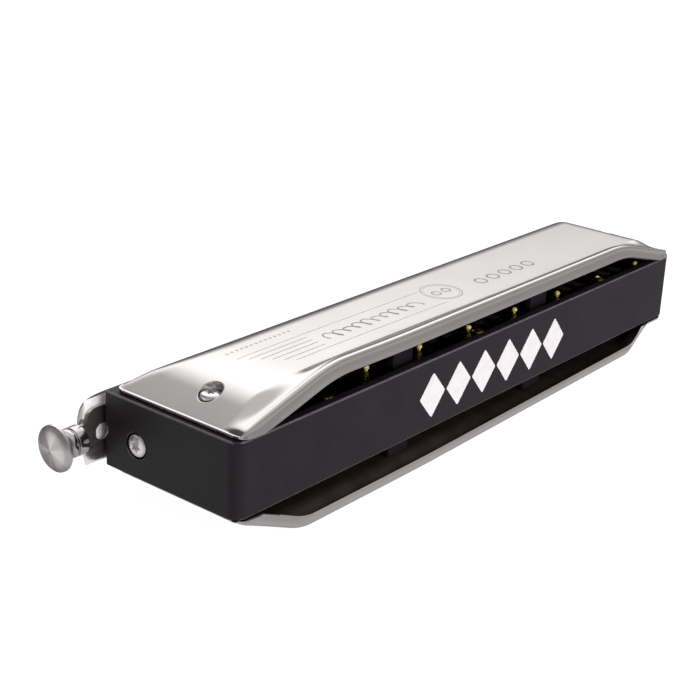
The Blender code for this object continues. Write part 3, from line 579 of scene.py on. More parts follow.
def comb_body():
    """The comb's block with rounded corners and rims."""
    bm = bmesh.new()
    low = Vector((-COMB_END, COMB_FRONT, COMB_BOTTOM))
    high = Vector((COMB_END, COMB_BACK, COMB_TOP))
    place = Matrix.Translation((low + high) / 2) @ Matrix.Diagonal((*(high - low), 1.0))
    bmesh.ops.create_cube(bm, size=1.0, matrix=place)
    for sign, offset, segments in ((1, BACK_CORNER, 14), (-1, FRONT_CORNER, 5)):
        upright = [edge for edge in bm.edges if abs(edge.verts[0].co.z - edge.verts[1].co.z) > 1
                   and all(vert.co.y * sign > COMB_BACK - 0.01 for vert in edge.verts)]
        bmesh.ops.bevel(bm, geom=upright, offset=offset, segments=segments, profile=0.5, affect="EDGES")
    rim = [edge for edge in bm.edges if abs(edge.verts[0].co.z - edge.verts[1].co.z) < 0.01]
    bmesh.ops.bevel(bm, geom=rim, offset=COMB_RIM, segments=3, profile=0.5, affect="EDGES")
    return to_mesh(bm)


def channel_boxes():
    """The 32 air channels."""
    items = []
    for index in range(HOLES):
        x = hole_x(index)
        back = min(rivet_y(x - REED_OFFSET), rivet_y(x + REED_OFFSET)) - 0.6
        for side in (1, -1):
            z = sorted((PORT_Z + side * PORT_LOW, face_z(side, -PLATE_SINK - PLATE_T - GAP / 2)))
            low, high = around(x, CHANNEL_W)
            items.append(((low, CHANNEL_FRONT, z[0]), (high, back, z[1])))
    return items


def hole_boxes(side, width, y, top, shift=0.0):
    """A box at each mouth hole, above (+1) or below (-1) the centre line."""
    z = sorted((PORT_Z + side * PORT_LOW, PORT_Z + side * top))
    spans = [around(hole_x(index) + shift, width) for index in range(HOLES)]
    return [((low, y[0], z[0]), (high, y[1], z[1])) for low, high in spans]


def make_comb():
    """Comb with pockets, channels, posts, spring pocket and screw holes."""
    mesh = comb_body()
    depth = -PLATE_SINK - PLATE_T - GAP
    pocket = [side_box(side, (-POCKET_X, POCKET_X), (-POCKET_Y, POCKET_Y), (depth, 1.0)) for side in (1, -1)]
    mesh = combined(mesh, bevelled(boxes(pocket), 0.6, 3))
    mesh = cut(mesh, channel_boxes())
    reach = (COMB_FRONT - 1, CHANNEL_FRONT + 1)
    ports = zip(*[hole_boxes(side, PORT_W, reach, PORT_HIGH) for side in (1, -1)])
    mesh = cut(mesh, [box for pair in ports for box in pair])
    posts = []
    for side, cover in ((1, "upper"), (-1, "lower")):
        for x in (-POST_X, POST_X):
            heights = (depth - 1.0, deck_top(x - POST_W / 2, cover) - SHEET - GAP)
            posts.append(side_box(side, around(x, POST_W), (POST_FRONT, POST_BACK), heights))
    mesh = combined(mesh, bevelled(boxes(posts), 0.4, 3), "UNION")
    for hollow in SPRING_HOLLOWS:
        mesh = cut(mesh, [hollow])
    holes = []
    for side in (1, -1):
        holes += [((x, CUP_Y, face_z(side, -2.4)), "z", 2.4, 6.4) for x in (-CUP_X, CUP_X)]
        holes += [((x, y, face_z(side, -4.0)), "z", 1.0, 5.0) for x in SCREW_COLUMNS for y in SCREW_ROWS]
    holes += [((x, COMB_FRONT + 2.5, PORT_Z), "y", 1.2, 9.0) for x in (-MOUTH_SCREW_X, MOUTH_SCREW_X)]
    holes.append(((COMB_END - 4.0, END_SCREW_Y, END_SCREW_Z), "x", 1.5, 10.0))
    mesh = drilled(mesh, holes)
    seat = [(0, -1.4), (3.0, -1.4), (3.0, -0.15), (3.3, 0.15), (3.3, 0.5), (0, 0.5)]
    place = Matrix.Translation((COMB_END, END_SCREW_Y, END_SCREW_Z)) @ AXIS_TURN["x"]
    mesh = combined(mesh, lathe(seat, 48, place))
    # The sloped faces of the outer rims take the second material, a painted highlight
    for face in mesh.polygons:
        outside = abs(face.center.x) > COMB_END - 0.4 or abs(face.center.y) > COMB_BACK - 0.4
        face.material_index = int(outside and 0.25 < abs(face.normal.z) < 0.98)
    piece("comb_moulding", mesh, [PLASTIC, RIM_PLASTIC_PAINTED_HIGHLIGHT], ["comb"])


def make_back_mark():
    """Six white lozenges printed on the comb's back wall."""
    count, pitch, half_w, half_h = 6, 10.2, 4.8, 5.6
    marks = []
    for index in range(count):
        x = -2.6 + (index - (count - 1) / 2) * pitch
        z = COMB_BOTTOM + 8.4
        outline = []
        for corner, turn in (((half_w, 0), 0), ((0, half_h), 90), ((-half_w, 0), 180), ((0, -half_h), 270)):
            centre = Vector(corner) * 0.88
            outline += arc(centre, 0.45, turn - 40, turn + 40, 6)
        place = Matrix.Translation((x, COMB_BACK + 0.04, z)) @ AXIS_TURN["-y"]
        marks.append(prism(outline, 0.0, 0.08, place))
    piece("back_mark", joined(marks), [WHITE_PRINT], weighted=False)


# ---- covers

def climb(inset, line, top, blend):
    """Height of a line of the cover that rises from the flange at the cover's end to a given top."""
    foot = max(FLANGE_H, FLANGE_H + FOOT_SLOPE * (inset - END_FOOT))
    near = min(max(0.5 * (inset - 0.6), 0.05), 1.0)
    return max(FLANGE_H, soft_min(foot, soft_min(line, top, blend), near))


def deck_top(x, cover):
    """Height of a cover's middle away from its ends. The upper cover's falls towards the far end."""
    return DECK_RISE - (DECK_TAPER * max(DECK_TAPER_START - x, 0.0) if cover == "upper" else 0.0)


def rim_height(inset, x, cover):
    """Height of the rolled rear edge."""
    start, slope = RIM_LINES[cover, "near" if x > 0 else "far"]
    if cover == "upper":
        dip = UPPER_RIM_DIP * smooth((UPPER_RIM_START - x) / UPPER_RIM_SPAN)
    else:
        dip = LOWER_RIM_TAPER * max(LOWER_RIM_START - x, 0.0)
    return climb(inset, start + slope * inset, COVER_RISE - dip, 1.5)


def deck_height(inset, x, cover):
    """Height of the cover's middle."""
    ease = soft_min(EASE_START + EASE_SLOPE * inset, deck_top(x, cover), 0.4)
    return climb(inset, RAMP_START + RAMP_SLOPE * inset, ease, 1.6)


def front_height(y):
    """Height of the front flank."""
    foot = max(FLANGE_H, FLANGE_H + FOOT_SLOPE * (y - FRONT_FOOT))
    return max(FLANGE_H, soft_min(foot, FLANK_H + FLANK_SLOPE * (y - FLANK_Y), 1.2))


PATCH_YS = list(np.linspace(CUP_Y - PATCH, CUP_Y + PATCH, PATCH_STEPS + 1))
FRONT_YS = [COVER_FRONT, -17.3, -17.1] + list(np.linspace(FRONT_FOOT, -5.2, 24))
DECK_YS = [-4.0, -2.2] + PATCH_YS + [9.2, 10.6, 12.0]
END_INSETS = [0.0, 0.2, 0.4, 0.6, 0.8, 1.0, 1.25, 1.5, 1.8, 2.1, 2.5]
CUP_INSET = COVER_HALF_L - CUP_X
PATCH_INSETS = list(np.linspace(CUP_INSET - PATCH, CUP_INSET + PATCH, PATCH_STEPS + 1))
REST_INSETS = list(np.linspace(11.4, 36.0, 30)) + [40.0, 46.0, 54.0, 64.0, 75.0]


def cover_section(inset, x, cover):
    """The cover's cross-section as (y, height) points from the front foot to the rear lip."""
    deck, rim = deck_height(inset, x, cover), rim_height(inset, x, cover)
    cut = COVER_CORNER - math.sqrt(COVER_CORNER ** 2 - max(COVER_CORNER - inset, 0.0) ** 2)
    points = []
    for y in FRONT_YS:
        flank = front_height(y)
        height = max(FLANGE_H, soft_min(flank, deck, min(1.2, 0.6 * (flank - FLANGE_H) + 0.05)))
        points.append((y + cut * y / COVER_FRONT, height if deck > FLANGE_H else FLANGE_H))
    points += [(y, deck) for y in DECK_YS]
    size = 1 - math.exp(-(rim - FLANGE_H) / 1.9)
    radius = BEAD_R * max(size, 0.05)
    back = COVER_BACK - cut
    for part in np.linspace(0.0, 1.0, 15):
        y = RISE_Y + (back - 2.0 - RISE_Y) * part
        points.append((y, deck + (rim - BEAD_DIP * size - deck) * smooth(part)))
    for turn in np.radians(np.linspace(118, 5, 13)):
        points.append((back - radius + radius * math.cos(turn), rim - radius + radius * math.sin(turn)))
    drop = max(min(LIP_DROP, rim - GAP - 0.1), radius * 1.3)
    for part in np.linspace(0.15, 1.0, 7):
        flare = LIP_FLARE * size * (0.35 * part + 0.65 * part * part)
        points.append((back + flare, rim - radius - (drop - radius) * part))
    return points


def well_rings(depth_of, inner):
    """Rings of a cover screw's well as (radius, height at an inset) functions."""
    if inner:
        out, floor = CUP_R + SHEET, CUP_FLOOR - SHEET
        return [(out + 0.15, depth_of), (out, lambda u: min(depth_of(u) - 0.1, floor + 0.5)),
                (out - 0.1, lambda u: floor), (SHANK_R, lambda u: floor)]
    wide, deep = 0.3, 0.2
    rings = [(CUP_R + wide + 0.12, depth_of)]
    for turn in np.radians((0, 18, 36, 54, 72, 90)):
        fall = deep * (1 - math.cos(turn))
        rings.append((CUP_R + wide * (1 - math.sin(turn)), lambda u, fall=fall: depth_of(u) - fall))
    for radius, lift in ((CUP_R, 0.2), (CUP_R - 0.06, 0.06), (CUP_R - 0.2, 0.0), (SHANK_R, 0.0)):
        rings.append((radius, lambda u, lift=lift: CUP_FLOOR + lift))
    return rings


def cover_mesh(cover):
    """The cover as a closed sheet, with its comb face at zero height. Material 1 is its inside."""
    run = 1 if cover == "upper" else -1
    insets = END_INSETS + PATCH_INSETS + REST_INSETS
    xs = [(-COVER_HALF_L + u, u) for u in insets]
    xs += [(0.0, COVER_HALF_L)]
    xs += [(-x, u) for x, u in reversed(xs[:-1])]
    outer = np.array([[(x, y, h) for y, h in cover_section(u, x * run, cover)] for x, u in xs])
    along = np.gradient(outer, axis=0)
    across = np.gradient(outer, axis=1)
    normal = np.cross(along, across)
    normal /= np.linalg.norm(normal, axis=2)[:, :, None]
    inner = outer - SHEET * normal
    inner[:, :, 2] = np.maximum(inner[:, :, 2], GAP)
    rows, columns = outer.shape[:2]
    bm = bmesh.new()
    skins = [[[bm.verts.new(p) for p in row] for row in grid] for grid in (outer, inner)]
    first_row = len(END_INSETS)
    first_column = len(FRONT_YS) + 2
    blocks = [(first_row, False), (rows - 1 - first_row - PATCH_STEPS, True)]

    def in_block(i, j):
        inside_y = first_column <= j < first_column + PATCH_STEPS
        return inside_y and any(start <= i < start + PATCH_STEPS for start, _ in blocks)

    for skin, verts in enumerate(skins):
        for i in range(rows - 1):
            for j in range(columns - 1):
                if not in_block(i, j):
                    near, far = verts[i], verts[i + 1]
                    face = bm.faces.new((near[j], far[j], far[j + 1], near[j + 1]))
                    face.material_index = skin
    border = [(i, 0) for i in range(rows)] + [(rows - 1, j) for j in range(1, columns)]
    border += [(i, columns - 1) for i in range(rows - 2, -1, -1)]
    border += [(0, j) for j in range(columns - 2, 0, -1)]
    bridge(bm, *[[verts[i][j] for i, j in border] for verts in skins])
    for start, right in blocks:
        loop = [(start + k, first_column) for k in range(PATCH_STEPS)]
        loop += [(start + PATCH_STEPS, first_column + k) for k in range(PATCH_STEPS)]
        loop += [(start + PATCH_STEPS - k, first_column + PATCH_STEPS) for k in range(PATCH_STEPS)]
        loop += [(start, first_column + PATCH_STEPS - k) for k in range(PATCH_STEPS)]
        centre = Vector((CUP_X if right else -CUP_X, CUP_Y))
        ends = []
        for skin, verts in enumerate(skins):
            ring = [verts[i][j] for i, j in loop]
            square = [vert.co.xy.copy() for vert in ring]
            ways = [(spot - centre).normalized() for spot in square]
            if skin:
                table = [(COVER_HALF_L - abs(inner[i][first_column][0]), inner[i][first_column][2])
                         for i in range(start, start + PATCH_STEPS + 1)]
                table.sort()
                us, hs = zip(*table)
                depth_of = lambda u, us=us, hs=hs: float(np.interp(u, us, hs))
            else:
                side_x = (CUP_X if right else -CUP_X) * run
                depth_of = lambda u, side_x=side_x: deck_height(u, side_x, cover)
            rings = well_rings(depth_of, bool(skin))
            blends = [(0.35, *rings[0]), (0.7, *rings[0])] + [(1.0, *item) for item in rings]
            for part, radius, height in blends:
                fresh = []
                for way, corner in zip(ways, square):
                    spot = corner.lerp(centre + way * radius, part)
                    fresh.append(bm.verts.new((spot.x, spot.y, height(COVER_HALF_L - abs(spot.x)))))
                bridge(bm, ring, fresh, skin)
                ring = fresh
            ends.append(ring)
        bridge(bm, *ends)
    return to_mesh(bm)


def make_cover(name, side, node):
    """One of the two covers, with its sheet edges rounded."""
    mesh = bevelled(cover_mesh(node.removeprefix("cover_")), 0.12, 2, 60)
    for face in mesh.polygons:
        if abs(face.center.x) > COVER_HALF_L - 0.2 and abs(face.normal.x) > 0.5:
            face.material_index = 2
    mesh.transform(outward(side, 0, 0, 0))
    # Material 1, the inside, is painted dark as shade
    piece(name, mesh, [COVER_STEEL, SHADE_PAINTED_INSIDE, COVER_EDGE], [node], angle=40)


def cover_top(x, y):
    """Height of the upper cover's outer surface above the comb, over its middle."""
    return min(deck_height(COVER_HALF_L - abs(x), x, "upper"), front_height(y))


def ribbon(line, width, closed=False):
    """A thin raised band over the upper cover that follows (x, y) points."""
    rows = []
    count = len(line)
    for k in range(count):
        before = line[k - 1] if closed or k else line[k]
        after = line[(k + 1) % count] if closed or k < count - 1 else line[k]
        way = (Vector(after) - Vector(before)).normalized()
        off = Vector((-way.y, way.x)) * width / 2
        row = []
        for sign, lift in ((1, -0.1), (1, 0.015), (-1, 0.015), (-1, -0.1)):
            spot = Vector(line[k]) + off * sign
            row.append((spot.x, spot.y, COMB_TOP + cover_top(spot.x, spot.y) + lift))
        rows.append(row)
    return loft(rows, closed)


# Stave lines as (y, x at both ends, width), and circles as (x, y, radius, steps, width)
STAVE = ((0.0, 67.4, 5.0, 0.15), (1.85, 65.7, 47.5, 0.2), (3.6, 64.1, 47.5, 0.2), (5.4, 62.2, 47.5, 0.2),
         (7.3, 60.6, 47.5, 0.2), (9.1, 58.8, 5.0, 0.15))
RINGS = [(0, 3.6, 5.2, 72, 0.22), (0, 3.6, 4.6, 72, 0.1)]
RINGS += [(x, 3.6, 1.15, 28, 0.42) for x in (-1.9, 1.9)]
RINGS += [(-14.2 - 5.2 * k, 5.4, 1.6, 30, 0.55) for k in range(5)]
RINGS += [(67.0 - 1.5 * k, -3.4, 0.3, 10, 0.16) for k in range(14)]


def make_engraving():
    """Six stave lines, a ring and plain ornaments in the places of the lettering."""
    bands = []
    for y, near, far, width in STAVE:
        bands.append(ribbon([(x, y) for x in np.linspace(near, far, 60)], width))
    for x, y, radius, steps, width in RINGS:
        bands.append(ribbon(arc((x, y), radius, 0, 360, steps)[:-1], width, closed=True))
    flourish = []
    for turn in np.linspace(0.0, 20 * math.pi, 400):
        size = 1.45 + 0.35 * math.sin(0.31 * turn)
        flourish.append((44.0 - 0.53 * turn + 1.05 * math.sin(turn), 4.8 + size * math.cos(turn + 0.5)))
    bands.append(ribbon(flourish, 0.42))
    piece("cover_engraving", joined(bands), [ENGRAVING], weighted=False)


# ---- reed plates

def slot_boxes(side):
    """Two slots a chamber."""
    items = []
    for index in range(HOLES):
        for offset in (-REED_OFFSET, REED_OFFSET):
            x = hole_x(index) + offset
            heights = (-PLATE_SINK - PLATE_T - 1.0, -PLATE_SINK + 1.0)
            items.append(side_box(side, around(x, SLOT_W), (SLOT_FRONT, rivet_y(x) - 1.7), heights))
    return items


def tapered_bar(bm, place, start, end):
    """A flat bar along Y. Each end is (y, half width, low, high)."""
    rows = []
    for y, half, low, high in (start, end):
        corners = ((-half, low), (half, low), (half, high), (-half, high))
        rows.append([place @ Vector((x, y, z)) for x, z in corners])
    tube(bm, rows)


def outer_sign(index):
    """The side of its chamber on which the outer reed lies: neighbours face each other in pairs."""
    return 1 if index % 2 else -1


def make_reed_plate(word, side):
    """A reed plate, its outer and inner reeds, rivets and the valves over the inner reeds' slots."""
    top = -PLATE_SINK
    plate = boxes([side_box(side, (-POCKET_X + GAP, POCKET_X - GAP), (-POCKET_Y + GAP, POCKET_Y - GAP),
                            (top - PLATE_T, top))])
    plate = cut(plate, slot_boxes(side))
    clear = [side_box(side, around(x, POST_W + 2 * GAP), (POST_FRONT - GAP, POST_BACK + GAP), (-5.0, 1.0))
             for x in (-POST_X, POST_X)]
    plate = cut(plate, clear)
    screws = [((x, y, face_z(side, top)), "z", 1.0, 4.0) for x in SCREW_COLUMNS for y in SCREW_ROWS]
    plate = drilled(plate, screws, 24)
    reeds, valves = bmesh.new(), bmesh.new()
    rivets = []
    for index in range(HOLES):
        for sign in (1, -1):
            x = hole_x(index) + sign * REED_OFFSET
            outer = sign == outer_sign(index)
            base = rivet_y(x)
            place = outward(side, x, 0, top if outer else top - PLATE_T)
            if not outer:
                place = place @ Matrix.Diagonal((1, 1, -1, 1))
            tapered_bar(reeds, place, (SLOT_FRONT + 0.25, 0.85, 0.10, 0.2), (base - 1.6, 1.05, 0.02, 0.22))
            tapered_bar(reeds, place, (base - 1.6, 1.05, 0.0, 0.34), (base + 1.1, 1.1, 0.0, 0.34))
            dome = [(0, 0.75), (0.3, 0.7), (0.52, 0.55), (0.6, 0.34), (0.6, 0.1), (0, 0.1)]
            rivets.append(lathe(dome, 20, place @ Matrix.Translation((0, base - 0.2, 0))))
            if not outer:
                over = outward(side, x, 0, top)
                tapered_bar(valves, over, (SLOT_FRONT - 0.4, 1.45, 0.12, 0.2), (base - 0.6, 1.45, 0.01, 0.09))
                rivets.append(lathe(dome, 20, over @ Matrix.Translation((0, base + 0.6, -0.3))))
    # The plate's near-black brass is painted shade
    piece(f"reed_plate_{word}_sheet", plate, [SHADE_PAINTED_PLATE], [f"reed_plate_{word}"])
    # Reeds in near-black brass, painted shade
    piece(f"reeds_{word}", to_mesh(reeds), [SHADE_PAINTED_REEDS], weighted=False)
    # Brass pins at every second wall, their brass colour bright as a painted glint
    pins = []
    for k in range(-4, 3):
        x = 2 * PITCH * k
        head = [(0, 1.4), (0.35, 1.35), (0.62, 1.15), (0.72, 0.85), (0.72, 0.55), (0.45, 0.45), (0.45, -0.1),
                (0, -0.1)]
        pins.append(lathe(head, 24, outward(side, x, RIVET_Y - RIVET_SLOPE * x, top)))
    # Rivets in the same near-black brass, painted shade
    piece(f"reed_rivets_{word}", joined(rivets), [SHADE_PAINTED_REEDS], weighted=False)
    piece(f"wall_pins_{word}", joined(pins), [PINS_WITH_PAINTED_GLINT], weighted=False)
    # The valves' near black is painted shade
    piece(f"reed_valves_{word}", to_mesh(valves), [SHADE_PAINTED_VALVES], weighted=False)


# ---- mouthpiece, cage and slide

def make_mouthpiece():
    """A plated bar with rounded front, soft ends and sixteen rounded holes."""
    half, depth = (MOUTH_HIGH.z - MOUTH_LOW.z) / 2, MOUTH_HIGH.y - MOUTH_LOW.y
    reach = depth + MOUTH_LEAN
    tall = half / math.sqrt(1 - (MOUTH_LEAN / reach) ** 2)
    limit = math.asin(half / tall)
    outline = []
    for turn in np.linspace(limit, -limit, 41):
        outline.append((reach * math.cos(turn) - MOUTH_LEAN, tall * math.sin(turn)))
    ends = [(MOUTH_HIGH.x - MOUTH_END * (1 - math.sin(t)), max(math.cos(t), MOUTH_EDGE / depth))
            for t in np.radians(np.linspace(90, 0, 19))]
    rings = []
    for x, share in ends + [(-x, share) for x, share in reversed(ends)]:
        rings.append([(x, MOUTH_HIGH.y - y * share, PORT_Z + z) for y, z in outline])
    mesh = loft(rings)
    middle = (MOUTH_LOW.y + MOUTH_HIGH.y) / 2
    holes = [((hole_x(index), middle, PORT_Z), "y", MOUTH_HOLE_R, 12.0) for index in range(HOLES)]
    mesh = drilled(mesh, holes, 40)
    shanks = [((x, middle, PORT_Z), "y", 1.2, 12.0) for x in (-MOUTH_SCREW_X, MOUTH_SCREW_X)]
    mesh = drilled(mesh, shanks, 24)
    heads = [((x, MOUTH_LOW.y, PORT_Z), "y", 2.4, 4.0) for x in (-MOUTH_SCREW_X, MOUTH_SCREW_X)]
    mesh = drilled(mesh, heads, 40)
    mesh = bevelled(mesh, 0.45, 4, 60)
    relief = (MOUTH_HIGH.x, SLIDE_Y, AXIS_Z), "x", (COLLAR_HIGH.z - COLLAR_LOW.z) / 2 + 0.5, 6.2
    mesh = drilled(mesh, [relief], 48)
    for face in mesh.polygons:
        face.material_index = int(face.normal.y > 0.95 and face.center.y > MOUTH_HIGH.y - 0.1)
    piece("mouthpiece_bar", mesh, [MOUTH_PLATE, MOUTH_BACK], ["mouthpiece"])


def make_cage():
    """The slide's guide, from the CAD mesh with its edges eased."""
    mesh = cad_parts["slide_cage"].data.copy()
    mesh.transform(Matrix.Scale(1 / MM, 4))
    mesh = bevelled(cleaned(mesh), 0.1, 2, 50)
    piece("slide_guide", mesh, [CAGE_PLATE], ["slide_cage"])


def make_slide():
    """The thin slide with its windows, slot and flared tail."""
    half, neck = (SLIDE_HIGH.z - SLIDE_LOW.z) / 2, NECK_HALF_H
    neck_x = COLLAR_LOW.x - 0.1
    upper = [(COLLAR_LOW.x + 1.9, neck), (neck_x, neck)]
    upper += arc((neck_x, neck + 2.0), 1.55, -90, -150, 12)
    upper += arc((88.6, half - 2.7), 2.7, 25, 90, 16)
    upper += [(SLIDE_LOW.x, half)]
    outline = upper + [(x, -z) for x, z in reversed(upper)]
    place = Matrix.Translation((0, SLIDE_Y, AXIS_Z)) @ AXIS_TURN["-y"]
    thick = (SLIDE_HIGH.y - SLIDE_LOW.y) / 2
    mesh = prism(outline, -thick, thick, place)
    reach = (SLIDE_Y - 2, SLIDE_Y + 2)
    for shift, side in ((0.0, 1), (TRAVEL, -1)):
        mesh = cut(mesh, hole_boxes(side, WINDOW_W, reach, PORT_HIGH - 0.1, shift))
    slot_end = MOUTH_SCREW_X + TRAVEL
    mesh = drilled(mesh, [((slot_end, SLIDE_Y, PORT_Z), "y", 1.2, 4.0)], 24)
    mesh = cut(mesh, [((MOUTH_SCREW_X - 1.3, reach[0], PORT_Z - 1.2), (slot_end, reach[1], PORT_Z + 1.2))])
    mesh = drilled(mesh, [((TAIL_HOLE_X, SLIDE_Y, AXIS_Z + 0.1), "y", TAIL_HOLE_R, 4.0)], 40)
    mesh = drilled(mesh, [((SPRING_LEG_X, SLIDE_Y, SPRING_LOW), "y", 0.8, 4.0)], 20)
    mesh = bevelled(mesh, 0.12, 3, 50)
    piece("slide_plate", mesh, [SLIDE_STEEL], ["slide"], body="slide")


def make_button():
    """Grooved collar and the turned cap."""
    radius = (COLLAR_HIGH.z - COLLAR_LOW.z) / 2
    start, end = COLLAR_LOW.x, COLLAR_HIGH.x
    place = Matrix.Translation((0, SLIDE_Y, AXIS_Z)) @ AXIS_TURN["x"]
    profile = [(0, start), (radius - 0.3, start), (radius - 0.09, start + 0.09), (radius, start + 0.3),
               (radius, start + 2.3), (radius - 0.06, start + 2.42), (radius - 0.5, start + 2.5),
               (radius - 0.5, start + 2.9), (radius - 0.1, start + 2.98), (radius - 0.04, start + 3.1),
               (radius - 0.04, end - 0.3), (radius - 0.15, end - 0.1), (radius - 0.4, end), (1.9, end),
               (1.9, end - 1.8), (0, end - 1.8)]
    mesh = lathe(profile, 72, place)
    thick = (SLIDE_HIGH.y - SLIDE_LOW.y) / 2
    reach, rise = thick + GAP, NECK_HALF_H + GAP
    slot = (start - 1, SLIDE_Y - reach, AXIS_Z - rise), (start + 2.2, SLIDE_Y + reach, AXIS_Z + rise)
    mesh = cut(mesh, [slot])
    piece("collar_turning", mesh, [COLLAR_PLATE], ["button_collar"], body="slide")
    cap_r, tip, stem = (CAP_HIGH.z - CAP_LOW.z) / 2, CAP_HIGH.x, CAP_LOW.x
    back = stem + 2.6
    cap = [(0, tip)]
    for turn in np.radians(np.linspace(6, 78, 13)):
        reach = cap_r * math.sin(turn) / math.sin(math.radians(80))
        cap.append((reach, tip - 1.5 * (1 - math.cos(turn))))
    cap += [(cap_r, tip - 1.45), (cap_r, tip - 1.75), (cap_r - 0.12, tip - 1.92), (cap_r - 0.45, tip - 2.0),
            (3.2, back - 0.25), (2.3, back - 0.6), (1.9, back - 0.9), (1.6, back - 1.1), (1.6, stem),
            (0, stem)]
    piece("cap_turning", lathe(cap, 96, place), [BUTTON_PLATE], ["button_cap"],
          body="slide", weighted=False)


# ---- spring and screws

def make_spring():
    """The wire spring between the comb and the slide."""
    points = [(81.4, y, SPRING_HIGH) for y in np.linspace(-7.8, -14.6, 8)]
    turns, steps = 2.25, 90
    for step in range(steps + 1):
        turn = math.pi - 2 * math.pi * turns * step / steps
        z = SPRING_HIGH + (SPRING_LOW - SPRING_HIGH) * step / steps
        points.append((SPRING_X + SPRING_R * math.cos(turn), SPRING_Y + SPRING_R * math.sin(turn), z))
    points += [(SPRING_LEG_X, y, SPRING_LOW) for y in np.linspace(COMB_FRONT + 0.4, SLIDE_LOW.y - 0.1, 6)]
    curve = bpy.data.curves.new("slide_spring_wire", "CURVE")
    curve.dimensions = "3D"
    curve.bevel_depth = WIRE_R
    curve.bevel_resolution = 4
    curve.use_fill_caps = True
    line = curve.splines.new("POLY")
    line.points.add(len(points) - 1)
    for point, place in zip(line.points, points):
        point.co = (*place, 1.0)
    mesh = evaluated(bpy.data.objects.new("work", curve))
    # No body of its own: the wire is shared between the comb and the slide, along its free leg
    wire = piece("slide_spring_wire", mesh, [WIRE], ["slide_spring"], body=None,
                 weighted=False)
    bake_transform(wire)


def star(radius, depth_low, depth_high, place):
    """A six-lobed prism for a driver's recess."""
    outline = []
    for turn in np.linspace(0, 2 * math.pi, 73)[:-1]:
        reach = radius * (0.82 + 0.18 * math.cos(6 * turn))
        outline.append((reach * math.cos(turn), reach * math.sin(turn)))
    return prism(outline, depth_low, depth_high, place)


def screw(place, head_r, head_h, shank_r, length, recess=True, slotted=False, turn=0.0):
    """A screw along +Z whose head's underside is at zero height."""
    crown = []
    for angle in np.radians(np.linspace(0, 70, 8)):
        crown.append((head_r * 0.93 * math.sin(angle) / math.sin(math.radians(70)),
                      head_h - 0.35 * (1 - math.cos(angle)) / (1 - math.cos(math.radians(70)))))
    crown += [(head_r * 0.98, head_h - 0.5), (head_r, head_h - 0.68), (head_r, 0.1), (head_r - 0.1, 0.0)]
    profile = crown + [(shank_r, 0.0)]
    steps = int(length / 0.5)
    for k in range(steps):
        z = -length * k / steps
        profile += [(shank_r, z - 0.12 * length / steps), (shank_r - 0.16, z - 0.6 * length / steps)]
    profile += [(shank_r * 0.5, -length), (0.0, -length)]
    mesh = lathe(profile, 48, place)
    spin = place @ Matrix.Rotation(turn, 4, "Z")
    if recess:
        mesh = combined(mesh, star(head_r * 0.52, head_h - 1.0, head_h + 0.5, spin))
    if slotted:
        slot = boxes([((-head_r - 1, -0.16, head_h - 0.4), (head_r + 1, 0.16, head_h + 1))])
        slot.transform(spin)
        mesh = combined(mesh, slot)
    return mesh


GROOVE = ((2.1, 1.0), (1.95, 1.1), (1.95, 1.25), (2.1, 1.35))       # an insert's (radius, depth) points


def make_fasteners():
    """Cover screws and inserts, reed plate screws, mouthpiece screws and the spring screw."""
    for side, word in ((1, "upper"), (-1, "lower")):
        for x, end in ((CUP_X, "right"), (-CUP_X, "left")):
            height = CUP_FLOOR + GAP
            mesh = screw(outward(side, x, CUP_Y, height), HEAD_R, HEAD_H, 0.9, height + 4.6, turn=0.3)
            node = f"cover_screw_{word}_{end}"
            piece(f"{node}_star", mesh, [SCREW_PLATE], [node])
            rings = [(1.2, -0.4), (1.9, -0.4), (2.1, -0.6)]
            for k in range(6):
                rings += [(radius, -drop - 0.6 * k) for radius, drop in GROOVE]
            rings += [(2.1, -4.8), (1.9, -5.0), (1.2, -5.0)]
            mesh = lathe(rings, 36, outward(side, x, CUP_Y, 0.0), ring=True)
            node = f"cover_insert_{word}_{end}"
            piece(f"{node}_ring", mesh, [TURNED_BRASS], [node], weighted=False)
        number = 0
        for x in SCREW_COLUMNS:
            for y in SCREW_ROWS:
                number += 1
                mesh = screw(outward(side, x, y, -PLATE_SINK + GAP), 1.5, 0.85, 0.65, 4.6, recess=False,
                             slotted=True, turn=0.7 * number)
                node = f"plate_screw_{word}_{number}"
                piece(f"{node}_slotted", mesh, [TURNED_BRASS], [node])
    for number, x in enumerate((MOUTH_SCREW_X, -MOUTH_SCREW_X), 1):
        node = f"mouthpiece_screw_{number}"
        place = Matrix.Translation((x, MOUTH_SCREW_LOW.y + HEAD_H, PORT_Z)) @ AXIS_TURN["-y"]
        piece(f"{node}_star", screw(place, 2.0, HEAD_H, 0.9, 13.4), [SCREW_PLATE], [node])
    place = Matrix.Translation((END_SCREW_HIGH.x - HEAD_H, END_SCREW_Y, END_SCREW_Z)) @ AXIS_TURN["x"]
    mesh = screw(place, 2.65, HEAD_H, 1.15, 6.6, turn=0.2)
    piece("spring_screw_star", mesh, [SCREW_PLATE], ["spring_screw"])


# ---- studio

def make_floor():
    """A plain pale floor under the object's lowest point."""
    look = Look("studio_floor", (0.12, 0.12, 0.12), 0.9, 0.0)
    look.shader.inputs["Emission Color"].default_value = (1.0, 1.0, 1.0, 1.0)
    look.shader.inputs["Emission Strength"].default_value = 0.95
    look.vary_colour(look.noise(3, 2), (0.1, 0.1, 0.1))
    bm = bmesh.new()
    bmesh.ops.create_grid(bm, x_segments=8, y_segments=8, size=4.0)
    mesh = to_mesh(bm)
    mesh.materials.append(look.mat)
    floor = bpy.data.objects.new("floor", mesh)
    floor.location.z = CAD_BOX[0][2] - FLOOR_DROP
    floor.visible_glossy = False
    floor.visible_diffuse = False
    SCENE.collection.objects.link(floor)


